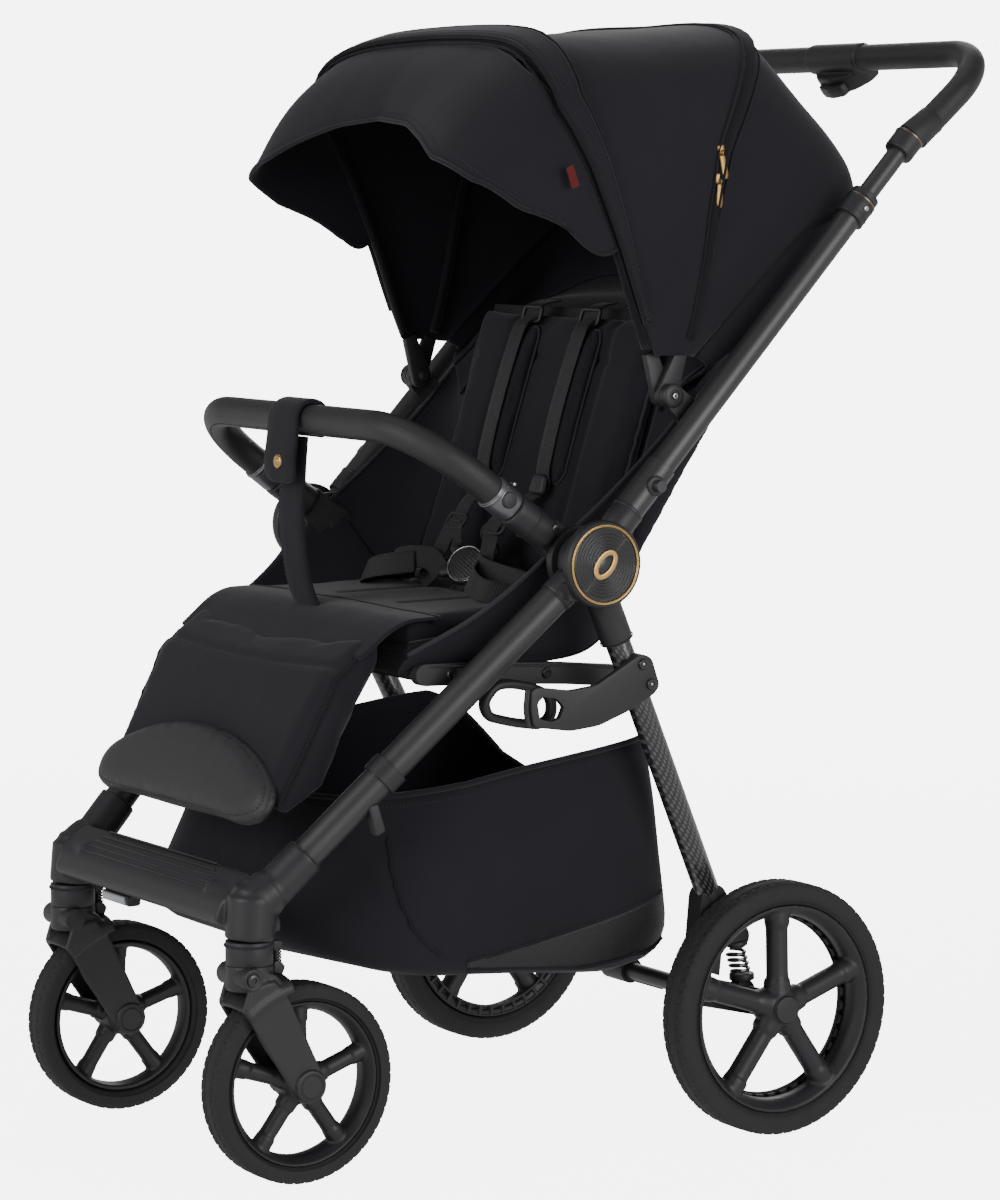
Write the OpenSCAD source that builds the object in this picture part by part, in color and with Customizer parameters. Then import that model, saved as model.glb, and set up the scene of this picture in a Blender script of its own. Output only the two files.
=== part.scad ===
// Folding baby stroller with a telescopic handle, canopy, bumper bar, calf rest and basket.
// X runs across the stroller (+X is the child's left), the front faces -Y, and Z is up.
// The origin is on the ground, under the middle of the stroller. All sizes are in millimetres.

/* [Frame] */
// Half the width over the hub caps
half_width = 300; // [296:1:306]
// Height of the folding hub's axis above the ground
hub_height = 609; // [606:1:612]
// Angle of the upper tubes above the horizontal
upper_angle = 46.6; // [46:0.1:47]
// Outer radius of the upper tubes
upper_tube_r = 13.5; // [13:0.1:13.5]
// Outer radius of the front legs
front_leg_r = 16.5; // [15:0.5:16.5]
// Outer radius of the rear legs
rear_leg_r = 11.5; // [10.5:0.5:11.5]

/* [Wheels] */
// Radius of the rear tyres
rear_wheel_r = 133; // [128:1:134]
// Width of the rear tyres
rear_tyre_w = 40; // [36:1:40]
// Radius of the front tyres
front_wheel_r = 101; // [97:1:102]
// Width of the front tyres
front_tyre_w = 37; // [34:1:38]
// Number of spokes in each wheel
spokes = 5; // [5:1:6]

/* [Seat] */
// Half the width of the seat pad
seat_half = 190; // [180:1:192]
// Angle of the backrest above the horizontal
back_angle = 72; // [70:1:74]

/* [Canopy] */
// Outer radius of the front panel about its hinge
canopy_r = 384; // [380:1:386]
// Half the outer width of the front panel
canopy_half = 246; // [245:0.5:246]

/* [Hidden] */
$fn = 48;
gap = 0.05;                  // radial running clearance of pins, and gap between fixed parts

// Colours
tube_colour = "#34353a";
plastic_colour = "#1d1e20";
fabric_colour = "#14141a";
gold_colour = "#a8803e";
bronze_colour = "#5b5148";
carbon_colour = "#26282c";
tyre_colour = "#2a2a2c";
leather_colour = "#232325";
steel_colour = "#8d8f93";

// Side-view points are [Y, Z]
hub = [33, hub_height];
tube_x = 270;                // X of the upper tubes and of the leg tops
lug_r = 30;
shaft_r = 8;
front_foot = [192, -300, 287];
caster_y = -315;
front_axle = [-262, front_wheel_r];
front_pivot = [-326, 214];
rear_axle_c = [190, 152];
rear_wheel_c = [262, rear_wheel_r];
rear_wheel_x = 279;
rear_leg_top = [tube_x, 55.7, 555.4];
rear_leg_foot = [245, 206, 238];
canopy_hinge = [145, 772];
calf_hinge = [-150, 522];
recline_hinge = [112, 556];
grip_start = [442, 1034];
grip_angle = 40;
grip_reach = 140;
grip_r = 14.5;
release_low = 27;            // depth of the release housing below the grip's axis
release_back = 8;            // how far the release housing passes the grip's axis
length_front = front_axle[0] - front_wheel_r;
length_back = grip_start[0] + (grip_reach + release_back) * cos(grip_angle)
    + release_low * sin(grip_angle);
bumper_x = 241;
bumper_angle = 142.5;
seat_top = [[-136, 545], [-128, 549], [-60, 548], [86, 549]];

// Helpers
function polar(c, r, a) = [c[0] + r * cos(a), c[1] + r * sin(a)];
function at_x(x, p) = [x, p[0], p[1]];
function along(a, b, t) = a + (b - a) * t;
function along_mm(a, b, d) = a + (b - a) * (d / norm(b - a));

// Moves the side view so that the middle of the whole length is at Y = 0
module placed() {
    translate([0, -(length_back + length_front) / 2, 0]) children();
}

module both() {
    children();
    mirror([1, 0, 0]) children();
}

module on_side(side) {
    if (side > 0) children();
    else mirror([1, 0, 0]) children();
}

module rod(a, b, r) {
    d = b - a;
    translate(a)
        rotate([0, acos(d[2] / norm(d)), atan2(d[1], d[0])])
            cylinder(r = r, h = norm(d));
}

module disc(x0, x1, c, r) {
    translate([x0, c[0], c[1]]) rotate([0, 90, 0]) cylinder(r = r, h = x1 - x0);
}

module slab(x0, x1) {
    translate([x0, 0, 0]) rotate([90, 0, 90]) linear_extrude(x1 - x0) children();
}

module link2d(a, b, ra, rb) {
    d = b - a;
    turn = atan2(d[1], d[0]);
    lean = acos((ra - rb) / norm(d));
    translate(a) circle(ra);
    translate(b) circle(rb);
    polygon([
        polar(a, ra, turn + lean), polar(b, rb, turn + lean),
        polar(b, rb, turn - lean), polar(a, ra, turn - lean)
    ]);
}

module chain2d(points, r) {
    for (i = [0 : len(points) - 2]) link2d(points[i], points[i + 1], r, r);
}

module spun(c, a0, a1) {
    translate([0, c[0], c[1]]) rotate([90, 0, 90])
        rotate([0, 0, a0]) rotate_extrude(angle = a1 - a0) children();
}

// A flat U bar: two legs a distance 2*half apart, round corners and a cross bar.
// It lies in the plane through X and the side-view direction of angle `angle`.
module u_bar(start, angle, half, reach, bend, r) {
    translate([0, start[0], start[1]]) rotate([angle, 0, 0]) {
        both() {
            translate([half, 0, 0]) rotate([-90, 0, 0]) cylinder(r = r, h = reach - bend);
            translate([half - bend, reach - bend, 0])
                rotate_extrude(angle = 90) translate([bend, 0]) circle(r);
        }
        translate([-(half - bend), reach, 0]) rotate([0, 90, 0])
            cylinder(r = r, h = 2 * (half - bend));
    }
}

// ---------- Chassis ----------
module front_leg_solid(r, past = 0) {
    top = at_x(tube_x, hub);
    rod(along_mm(top, front_foot, 36), along_mm(front_foot, top, -past), r);
}

module front_legs() {
    color(tube_colour) placed() both() front_leg_solid(front_leg_r);
}

pillar_top = 289;
pillar_bottom = 250;
pillar_r = 24;
stem_r = 8;
module footrest() {
    tread = [[-344, 268], [-334, 290], [-308, 314], [-297, 304], [-322, 262]];
    color(plastic_colour) placed() difference() {
        union() {
            slab(-170, 170) polygon(tread);
            both() {
                translate([front_foot[0], caster_y, pillar_bottom])
                    cylinder(r = pillar_r, h = pillar_top - pillar_bottom);
                slab(165, 200) polygon(tread);
                translate([front_foot[0], -307, 286]) sphere(r = 22);
            }
        }
        both() {
            front_leg_solid(front_leg_r + gap, gap);
            translate([front_foot[0], caster_y, pillar_bottom - 1])
                cylinder(r = stem_r + gap, h = 29);
        }
        for (i = [0 : 5])
            translate([-150, -331 + i * 5, 292 + i * 4.8]) rotate([42, 0, 0])
                cube([300, 2, 3]);
    }
}

module reflector() {
    color("white") placed() translate([-78, -334, 250]) cube([52, 6, 12]);
}

module hub_housings() {
    color(plastic_colour) placed() both() difference() {
        union() {
            disc(247, 256, hub, 36);
            disc(230, 289, hub, shaft_r);
            disc(289, half_width - 2, hub, 43);
            slab(256, 289) polygon([
                polar(hub, 33, 206), polar(hub, 42, 206),
                polar(hub, 50, 224), polar(hub, 42, 242), polar(hub, 33, 242)
            ]);
        }
        front_leg_solid(front_leg_r + gap);
    }
}

module hub_covers() {
    color(carbon_colour) placed() both() {
        disc(half_width - 2 + gap, half_width, hub, 36.5);
        for (r = [14 : 5 : 34])
            translate([half_width, hub[0], hub[1]]) rotate([0, 90, 0])
                rotate_extrude() translate([r, -0.5]) square([1.6, 1]);
    }
}

module hub_rings() {
    color(gold_colour) placed() both()
        translate([half_width - 2 + gap, hub[0], hub[1]]) rotate([0, 90, 0])
            rotate_extrude() translate([37, 0]) square([4, 2.4]);
}

module seat_rails() {
    color(plastic_colour) placed() difference() {
        union() {
            both() {
                slab(204, 216) chain2d([[100, 485], [40, 491], [-60, 498], [-126, 500]], 11);
                disc(216, 226.5, [-84, 498], 8);
            }
            rod([-204, 60, 489], [204, 60, 489], 7);
            rod([-204, -120, 498], [204, -120, 498], 7);
        }
        both() front_leg_solid(front_leg_r + gap);
    }
}

module seat_pad() {
    color(fabric_colour) placed() slab(-seat_half, seat_half)
        polygon(concat(seat_top, [[82, 518], [-60, 514], [-124, 514], [-132.5, 524]]));
}

basket_outer = [
    [-205, 352], [-262, 250], [-250, 228], [-190, 206], [-129, 192], [-52, 187], [95, 176],
    [186, 182], [176, 240], [114, 423], [-41, 394]
];
basket_inner = [
    [-214, 375], [-257, 251], [-247, 233], [-189, 211], [-128, 197], [-52, 192], [95, 181],
    [181, 187], [171, 240], [109, 440], [-41, 440]
];
basket_half = 222;
module basket_shell(side_view, half) {
    intersection() {
        slab(-half, half) polygon(side_view);
        translate([0, 0, 100]) linear_extrude(400) polygon([
            [-half + 36, -280], [-half, -100], [-half, 220],
            [half, 220], [half, -100], [half - 36, -280]
        ]);
    }
}

module basket() {
    color(fabric_colour) placed() difference() {
        basket_shell(basket_outer, basket_half);
        basket_shell(basket_inner, basket_half - 5);
    }
}

module basket_clips() {
    leg_top = at_x(tube_x, hub);
    color(plastic_colour) placed() both() difference() {
        rod(along(leg_top, front_foot, 0.61), along(leg_top, front_foot, 0.65), front_leg_r + 3);
        front_leg_solid(front_leg_r + gap);
    }
}

module carry_loop() {
    color(plastic_colour) placed() both() {
        slab(220, 234) difference() {
            link2d([-34, 462], [12, 466], 21, 21);
            link2d([-34, 462], [12, 466], 12, 12);
        }
        disc(216.1, 220, [-8, 482], 4);
    }
}

module bumper_strap() {
    color(fabric_colour) placed() {
        slab(-24, 24) difference() {
            link2d(bumper_centre(), bumper_centre() + [-8, -22], 21, 15);
            translate(bumper_centre()) circle(17.6);
        }
        slab(-16, 16) polygon([
            [-149, 712], [-144, 712], [-150, 640], [-143, 574], [-128, 552],
            [-132, 550], [-148, 573], [-155, 640]
        ]);
    }
}

// ---------- Upper frame ----------
upper_end = 495;             // distance of the tube's top end from the hub axis
bore_start = 330;
handle_tube_r = 10.5;
stud_c = polar(hub, 103, upper_angle);
stud_r = 6;
stud_start = 286.5;
stud_end = 296;
function upper_at(d) = at_x(tube_x, polar(hub, d, upper_angle));

module upper_tubes() {
    color(tube_colour) placed() both() difference() {
        union() {
            disc(258, 272, hub, lug_r);
            rod(upper_at(24), upper_at(upper_end), upper_tube_r);
            rod(upper_at(60), upper_at(128), upper_tube_r + 2);
            disc(tube_x, stud_start, stud_c, 9);
            disc(tube_x, stud_end, stud_c, stud_r);
        }
        disc(257, 273, hub, shaft_r + gap);
        disc(272.5, 300, hub, lug_r + 2);
        rod(upper_at(bore_start), upper_at(upper_end + 1), handle_tube_r + gap);
    }
}

module upper_collars() {
    color(bronze_colour) placed() both() difference() {
        union() {
            rod(upper_at(upper_end - 26), upper_at(upper_end - 2), upper_tube_r + 3);
            rod(upper_at(upper_end + gap), upper_at(upper_end + 7), upper_tube_r + 2);
        }
        rod(upper_at(upper_end - 40), upper_at(upper_end + gap), upper_tube_r + gap);
        rod(upper_at(upper_end - 1), upper_at(upper_end + 9), handle_tube_r + 0.3);
    }
}

canopy_pin_r = 5;
module canopy_brackets() {
    color(plastic_colour) placed() both() {
        slab(247.5, 256.4) link2d(canopy_hinge, polar(hub, 196, upper_angle), 12, 15);
        disc(224, 248, canopy_hinge, canopy_pin_r);
    }
}

// Points of a hoop: round-cornered arch of half width `w` and height `r`, with straight sides
corner_r0 = 255;
function hoop(w, r, foot) = concat(
    [[foot, -w]],
    [for (t = [-90 : 15 : 90])
        [corner_r0 + (r - corner_r0) * pow(cos(t), 0.667), w * sign(t) * pow(abs(sin(t)), 0.667)]],
    [[foot, w]]
);
function flip(points) = [for (i = [len(points) - 1 : -1 : 0]) points[i]];

module hoop2d(w, r, thick, foot) {
    polygon(concat(hoop(w, r, foot), flip(hoop(w - thick, r - thick, foot))));
}

module canopy_rear_panel() {
    color(fabric_colour) placed() spun(canopy_hinge, 36, 71)
        hoop2d(canopy_half - 5, canopy_r - 6, 3.5, 48);
}

buckle_c = [66, 586];
buckle_tilt = -28;
module on_buckle() {
    translate([0, buckle_c[0], buckle_c[1]]) rotate([90 + buckle_tilt, 0, 0]) children();
}

module buckle() {
    color(plastic_colour) placed() on_buckle() difference() {
        cylinder(r = 20, h = 12, center = true);
        translate([0, 0, -1]) cylinder(r = 15 + gap, h = 10);
    }
}

module buckle_button() {
    color(carbon_colour) placed() on_buckle() translate([0, 0, 2]) cylinder(r = 15, h = 4.5);
}

module harness_straps() {
    color(fabric_colour) placed() both() {
        rod([24, 72, 600], [52, 112, 660], 4);
        rod([24, 68, 586], [150, 74, 560], 4);
    }
}

// ---------- Handle ----------
module handle_tubes() {
    color(tube_colour) placed() both()
        rod(upper_at(bore_start + 70), upper_at(587), handle_tube_r);
}

module grip_bar(r) {
    u_bar(grip_start, grip_angle, tube_x, grip_reach, 70, r);
}

module on_grip() {
    translate([0, grip_start[0], grip_start[1]]) rotate([grip_angle, 0, 0]) children();
}

module handle_grip() {
    color(leather_colour) placed() difference() {
        grip_bar(grip_r);
        both() rod(upper_at(560), upper_at(604), handle_tube_r + gap);
    }
}

module handle_collars() {
    color(bronze_colour) placed() both() difference() {
        rod(upper_at(565), upper_at(583), grip_r + 1.5);
        rod(upper_at(550), upper_at(600), handle_tube_r + gap);
    }
}

module release_housing() {
    color(plastic_colour) placed() difference() {
        on_grip() translate([-44, grip_reach - 28, -release_low])
            cube([88, 28 + release_back, 19]);
        on_grip() translate([-22, grip_reach - 34, -release_low - 1]) cube([44, 26, 15]);
        grip_bar(grip_r + gap);
    }
}

module release_trigger() {
    color(plastic_colour) placed() on_grip()
        translate([-21.5, grip_reach - 32, -release_low]) cube([43, 15, 13.5]);
}

// ---------- Canopy ----------
module bow(angle, w, r, bar) {
    translate([0, canopy_hinge[0], canopy_hinge[1]]) rotate([90, 0, 90])
        rotate([0, 0, angle]) difference() {
            union() {
                rotate([90, 0, 0]) linear_extrude(bar, center = true)
                    hoop2d(w, r, 4.5, 0);
                for (s = [-1, 1])
                    translate([0, 0, s * (w - 2.25)]) cylinder(r = 10, h = 4.5, center = true);
            }
            cylinder(r = canopy_pin_r + gap, h = 2 * w + 2, center = true);
        }
}

module canopy_mid_bow() {
    color(plastic_colour) placed() bow(73, canopy_half - 9.5, canopy_r - 15, 11);
}

module canopy_front_bow() {
    color(plastic_colour) placed() bow(109, canopy_half - 15, canopy_r - 21, 11);
}

module canopy_front_panel() {
    color(fabric_colour) placed() spun(canopy_hinge, 71.6, 110)
        hoop2d(canopy_half, canopy_r, 3.5, 48);
}

module canopy_visor() {
    color(fabric_colour) placed() spun(canopy_hinge, 110.1, 124)
        hoop2d(canopy_half, canopy_r, 3.5, 165);
}

// ---------- Backrest ----------
module on_back() {
    translate([0, recline_hinge[0], recline_hinge[1]]) rotate([back_angle, 0, 0]) children();
}

module backrest_board() {
    color(plastic_colour) placed() difference() {
        union() {
            on_back() translate([-185, 8, -10]) cube([370, 305, 6]);
            both() {
                on_back() translate([172, 0, -8]) cube([13, 10, 4]);
                disc(172, 185, recline_hinge, 8);
            }
        }
        both() {
            on_back() translate([40, 120, -12]) cube([34, 6, 12]);
            disc(171, 186, recline_hinge, 3);
        }
    }
}

module backrest_cushion() {
    color(fabric_colour) placed() on_back() translate([-182, 10, -3.9]) cube([364, 300, 20]);
}

module back_cover() {
    color(fabric_colour) placed() difference() {
        slab(-196, 196) polygon([
            [128.4, 569], [115, 536], [146, 588], [219, 695], [276, 777], [296, 838], [221, 857]
        ]);
        slab(-191, 191) polygon([
            [131, 577], [144, 594], [215, 699], [271, 780], [290, 835], [222, 852]
        ]);
    }
}

module shoulder_pads() {
    color(fabric_colour) placed() both() on_back() translate([34, 112, 16.4]) cube([50, 172, 12]);
}

// ---------- Bumper bar ----------
bumper_start = 60;
bumper_reach = 164;
bumper_r = 16;
function bumper_centre() = polar(hub, bumper_start + bumper_reach, bumper_angle);

module bumper_bar() {
    color(leather_colour) placed() u_bar(polar(hub, bumper_start + 34, bumper_angle), bumper_angle,
                                bumper_x - 4, bumper_reach - 34, 90, bumper_r);
}

button_c = polar(hub, 64, 140);
button_r = 5;
module bumper_ends() {
    foot = polar(hub, bumper_start + 34, bumper_angle);
    neck = polar(hub, 44, 136);
    color(plastic_colour) placed() both() difference() {
        union() {
            slab(232, 246) link2d(hub, neck, 22, 13);
            rod(at_x(bumper_x - 1, neck), at_x(bumper_x - 2, foot), 13);
        }
        disc(228, 248, hub, shaft_r + gap);
        translate([0, foot[0], foot[1]]) rotate([bumper_angle, 0, 0])
            translate([200, -gap, -20]) cube([60, 40, 40]);
        disc(222, 235, button_c, button_r + gap);
    }
}

module bumper_button(side) {
    color(steel_colour) placed() on_side(side) disc(224.5, 231, button_c, button_r);
}

// ---------- Calf rest ----------
module calf_rest() {
    color(fabric_colour) placed() slab(-seat_half + 2, seat_half - 2) {
        translate(calf_hinge) circle(16);
        polygon([
            polar(calf_hinge, 16, 124), [-209, 500], [-244, 440], [-277, 372], [-266, 364],
            [-226, 392], [-200, 436], polar(calf_hinge, 16, -64)
        ]);
    }
}

module foot_pad() {
    pad_angle = 62;
    color(leather_colour) placed() translate([0, -283, 366]) rotate([pad_angle, 0, 0])
        intersection() {
            translate([0, -187, 2]) cylinder(r = 265, h = 13);
            translate([-184, -16, 0]) cube([368, 100, 16]);
        }
}

// ---------- Rear frame ----------
module rear_leg_solid(r) {
    rod(rear_leg_top, rear_leg_foot, r);
}

module rear_legs() {
    color(carbon_colour) placed() both() rod(along(rear_leg_top, rear_leg_foot, 0.08), rear_leg_foot,
                                    rear_leg_r);
}

module rear_sleeves() {
    color(plastic_colour) placed() both() difference() {
        union() {
            disc(274, 287, hub, lug_r);
            rod(along(rear_leg_top, rear_leg_foot, -0.01),
                along(rear_leg_top, rear_leg_foot, 0.2), rear_leg_r + 2.5);
            rod(at_x(280.5, polar(hub, 20, 293)), at_x(273, polar(hub, 72, 293)), 6.2);
        }
        disc(273, 288, hub, shaft_r + gap);
        rod(along(rear_leg_top, rear_leg_foot, 0.08), rear_leg_foot, rear_leg_r + gap);
    }
}

module rear_brackets() {
    leg = [rear_leg_foot[1], rear_leg_foot[2]];
    color(plastic_colour) placed() both() difference() {
        slab(232, 256) {
            link2d(leg + [-6, 10], rear_axle_c, 16, 15);
            link2d(leg + [4, 0], [232, 206], 14, 13);
        }
        rod(rear_leg_top, along_mm(rear_leg_foot, rear_leg_top, -0.1), rear_leg_r + gap);
        disc(231, 257, rear_axle_c, 9 + gap);
        disc(242, 257, rear_axle_c, 23);
    }
}

module rear_axle() {
    color(tube_colour) placed() disc(-256, 256, rear_axle_c, 9);
}

module hook_plates() {
    color(plastic_colour) placed() both() {
        slab(284.2, 289) difference() {
            union() {
                link2d([92, 474], [40, 452], 23, 19);
                link2d([40, 452], [-2, 450], 19, 14);
                link2d([-2, 450], [-16, 462], 14, 10);
            }
            translate([-12, 473]) circle(11);
        }
        for (p = [[88, 489], [96, 460]]) disc(289, 291.5, p, 5);
        difference() {
            slab(272, 284.2) link2d([88, 486], [98, 460], 15, 15);
            rear_leg_solid(rear_leg_r + gap);
            rod(along(rear_leg_top, rear_leg_foot, -0.01),
                along(rear_leg_top, rear_leg_foot, 0.2), rear_leg_r + 2.5 + gap);
        }
    }
}

module brake_pedal() {
    color(plastic_colour) placed() difference() {
        union() {
            disc(80, 120, rear_axle_c, 13.5);
            slab(84, 116) polygon([[198, 148], [236, 134], [240, 128], [232, 126], [192, 140]]);
        }
        disc(79, 121, rear_axle_c, 9 + gap);
    }
}

axle_r = 6;
spring_x = 249;
spring_low = [240, 158];
spring_high = [232, 203];
module rear_arm(side) {
    color(plastic_colour) placed() on_side(side) {
        difference() {
            slab(242.3, 255.8) {
                link2d(rear_axle_c, rear_wheel_c, 15, 14);
                link2d([225, 140], spring_low + [-2, -8], 9, 9);
            }
            disc(242, 256, rear_axle_c, 9 + gap);
        }
        disc(255.8, half_width - 1, rear_wheel_c, axle_r);
    }
}

// Points of a coil of wire about the line from a to b
function coil(a, b, r, turns, steps) = [
    for (i = [0 : steps])
        let (t = i / steps, c = a + (b - a) * t, w = 360 * turns * t)
            [spring_x + r * cos(w), c[0] + r * sin(w), c[1]]
];
function ring(p, q, r, n) =
    let (d = (q - p) / norm(q - p), u = cross(d, [0, 0, 1]) / norm(cross(d, [0, 0, 1])),
         v = cross(d, u))
        [for (k = [0 : n - 1]) p + r * (cos(360 * k / n) * u + sin(360 * k / n) * v)];

module wire(path, r, n) {
    last = len(path) - 1;
    rings = [for (i = [0 : last])
        ring(path[i], path[i] + path[min(i + 1, last)] - path[max(i - 1, 0)], r, n)];
    points = [for (s = rings, p = s) p];
    sides = [for (i = [0 : last - 1], k = [0 : n - 1])
        let (k2 = (k + 1) % n) [i * n + k, i * n + k2, (i + 1) * n + k2, (i + 1) * n + k]];
    polyhedron(points, concat([[for (k = [n - 1 : -1 : 0]) k]],
                              sides, [[for (k = [0 : n - 1]) last * n + k]]));
}

module rear_spring(side) {
    color(steel_colour) placed() on_side(side)
        wire(coil(spring_low + [0, 6], spring_high + [0, -12], 9.5, 4.5, 54), 1.9, 8);
}

// ---------- Wheels ----------
module tyre(x, c, r, w) {
    inner = r * 0.8 + gap;
    translate([x, c[0], c[1]]) rotate([0, 90, 0]) rotate_extrude() difference() {
        union() {
            translate([inner, -w * 0.4]) square([r - inner - 12, w * 0.8]);
            translate([r - 12, -w / 2 + 8]) square([12, w - 16]);
            for (s = [-1, 1]) translate([r - 12, s * (w / 2 - 8)]) circle(8);
            translate([inner + 2, -w / 2 + 3]) square([r - inner - 12, w - 6]);
        }
        translate([r - 0.5, -3]) square([2, 6]);
    }
}

module rim(x, c, r, w, hub_w) {
    outer = r * 0.8;
    translate([x, c[0], c[1]]) rotate([0, 90, 0]) difference() {
        union() {
            rotate_extrude() translate([outer - 9, -w * 0.38]) square([9, w * 0.76]);
            cylinder(r = 17, h = hub_w, center = true);
            for (i = [0 : spokes - 1]) rotate([0, 0, 360 / spokes * i + 18])
                translate([14, -7, -w * 0.24]) cube([outer - 20, 14, w * 0.48]);
        }
        cylinder(r = axle_r + gap, h = hub_w + 2, center = true);
    }
}

module rear_tyre(side) {
    color(tyre_colour) placed() on_side(side)
        tyre(rear_wheel_x, rear_wheel_c, rear_wheel_r, rear_tyre_w);
}

module rear_rim(side) {
    color(plastic_colour) placed() on_side(side)
        rim(rear_wheel_x, rear_wheel_c, rear_wheel_r, rear_tyre_w, 40);
}

module front_tyre(side) {
    color(tyre_colour) placed() on_side(side)
        tyre(front_foot[0], front_axle, front_wheel_r, front_tyre_w);
}

module front_rim(side) {
    color(plastic_colour) placed() on_side(side)
        rim(front_foot[0], front_axle, front_wheel_r, front_tyre_w, 42);
}

// ---------- Front casters ----------
swivel_top = 249;
module front_swivel(side) {
    x = front_foot[0];
    color(tube_colour) placed() on_side(side) {
        translate([x, caster_y, 244]) cylinder(r = pillar_r, h = swivel_top - 244);
        translate([x, caster_y, swivel_top]) cylinder(r = stem_r, h = 28);
        translate([x, caster_y, 226]) cylinder(r = 21, h = 18);
        slab(x - 11, x + 11) link2d(front_pivot + [4, 14], front_pivot, 13, 11);
        disc(x - 27, x + 27, front_pivot, 5);
    }
}

blade_in = 22;
module front_fork(side) {
    x = front_foot[0];
    color(plastic_colour) placed() on_side(side) {
        for (s = [-1, 1]) {
            x0 = s > 0 ? x + blade_in : x - blade_in - 5;
            difference() {
                slab(x0, x0 + 5) union() {
                    link2d(front_pivot, front_axle, 17, 15);
                    link2d(front_pivot, [-300, 212], 17, 14);
                }
                disc(x - 40, x + 40, front_pivot, 5 + gap);
            }
        }
        slab(x - blade_in, x + blade_in) polygon([
            [-299, 204], [-287, 208], [-292, 214], [-303, 210]
        ]);
        disc(x - blade_in, x + blade_in, front_axle, axle_r);
    }
}

front_legs();
footrest();
reflector();
hub_housings();
hub_covers();
hub_rings();
seat_rails();
seat_pad();
basket();
basket_clips();
carry_loop();
bumper_strap();
upper_tubes();
upper_collars();
canopy_brackets();
canopy_rear_panel();
buckle();
harness_straps();
buckle_button();
handle_tubes();
handle_grip();
handle_collars();
release_housing();
release_trigger();
canopy_mid_bow();
canopy_front_bow();
canopy_front_panel();
canopy_visor();
backrest_board();
backrest_cushion();
back_cover();
shoulder_pads();
bumper_bar();
bumper_ends();
bumper_button(1);  // bumper_button_left
bumper_button(-1);  // bumper_button_right
calf_rest();
foot_pad();
rear_legs();
rear_sleeves();
rear_brackets();
rear_axle();
hook_plates();
brake_pedal();
rear_arm(1);  // rear_arm_left
rear_arm(-1);  // rear_arm_right
rear_spring(1);  // rear_spring_left
rear_spring(-1);  // rear_spring_right
rear_tyre(1);  // rear_tyre_left
rear_tyre(-1);  // rear_tyre_right
rear_rim(1);  // rear_rim_left
rear_rim(-1);  // rear_rim_right
front_swivel(1);  // front_swivel_left
front_swivel(-1);  // front_swivel_right
front_fork(1);  // front_fork_left
front_fork(-1);  // front_fork_right
front_tyre(1);  // front_tyre_left
front_tyre(-1);  // front_tyre_right
front_rim(1);  // front_rim_left
front_rim(-1);  // front_rim_right
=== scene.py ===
import math

import bmesh
import bpy
import numpy as np
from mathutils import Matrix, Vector, kdtree, noise


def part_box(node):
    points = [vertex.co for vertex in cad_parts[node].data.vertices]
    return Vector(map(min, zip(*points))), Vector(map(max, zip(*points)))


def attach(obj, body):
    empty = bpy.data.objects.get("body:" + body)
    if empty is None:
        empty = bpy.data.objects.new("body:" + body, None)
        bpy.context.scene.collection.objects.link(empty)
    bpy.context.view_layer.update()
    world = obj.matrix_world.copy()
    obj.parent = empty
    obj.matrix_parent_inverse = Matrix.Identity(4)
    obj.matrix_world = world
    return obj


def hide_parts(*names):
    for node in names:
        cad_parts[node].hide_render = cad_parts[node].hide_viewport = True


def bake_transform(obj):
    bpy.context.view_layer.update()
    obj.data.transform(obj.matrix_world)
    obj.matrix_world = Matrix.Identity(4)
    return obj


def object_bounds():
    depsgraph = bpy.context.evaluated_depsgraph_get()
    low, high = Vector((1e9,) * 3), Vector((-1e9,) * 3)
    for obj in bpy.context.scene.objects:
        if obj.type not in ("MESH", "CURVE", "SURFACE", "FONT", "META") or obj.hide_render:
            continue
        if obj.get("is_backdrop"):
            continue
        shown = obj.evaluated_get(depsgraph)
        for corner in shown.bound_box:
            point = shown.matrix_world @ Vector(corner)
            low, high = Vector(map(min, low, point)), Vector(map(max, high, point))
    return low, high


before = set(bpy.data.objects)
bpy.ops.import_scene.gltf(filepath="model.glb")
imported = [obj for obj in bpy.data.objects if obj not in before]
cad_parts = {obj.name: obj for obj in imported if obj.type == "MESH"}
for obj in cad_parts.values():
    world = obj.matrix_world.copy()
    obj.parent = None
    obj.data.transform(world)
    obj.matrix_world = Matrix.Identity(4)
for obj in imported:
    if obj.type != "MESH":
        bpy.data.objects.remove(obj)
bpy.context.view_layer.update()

SCENE = bpy.context.scene


# ------------------------------------------------------------------ places
# Sizes are in millimetres in the side-view frame of the CAD source: X across, Y from the middle
# of the wheel axles, Z up. The hub ring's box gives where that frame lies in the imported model.
HUB_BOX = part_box("hub_rings")
Y0 = (HUB_BOX[0].y + HUB_BOX[1].y) / 2 - 0.033
HUB_Z = (HUB_BOX[0].z + HUB_BOX[1].z) * 500


def pts(points):
    """Points in millimetres as an array in metres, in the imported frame."""
    return np.asarray(points, float).reshape(-1, 3) / 1000 + np.array([0, Y0, 0])


def pt(x, y, z):
    return Vector(pts([x, y, z])[0])


def polar(c, r, degrees):
    return (c[0] + r * math.cos(math.radians(degrees)), c[1] + r * math.sin(math.radians(degrees)))


def mix(a, b, t):
    return a + (b - a) * t


def smooth_step(t):
    t = np.clip(t, 0, 1)
    return t * t * (3 - 2 * t)


def curve(points, n):
    """n points evenly along the Catmull-Rom curve through the points."""
    p = np.asarray(points, float)
    ends = np.vstack([2 * p[0] - p[1], p, 2 * p[-1] - p[-2]])
    fine = []
    for i in range(len(p) - 1):
        a, b, c, d = ends[i:i + 4]
        for t in np.linspace(0, 1, 25)[:-1]:
            fine.append(0.5 * (2 * b + (c - a) * t + (2 * a - 5 * b + 4 * c - d) * t * t
                               + (3 * b - a - 3 * c + d) * t ** 3))
    return even(np.vstack([fine, p[-1:]]), n)


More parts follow.
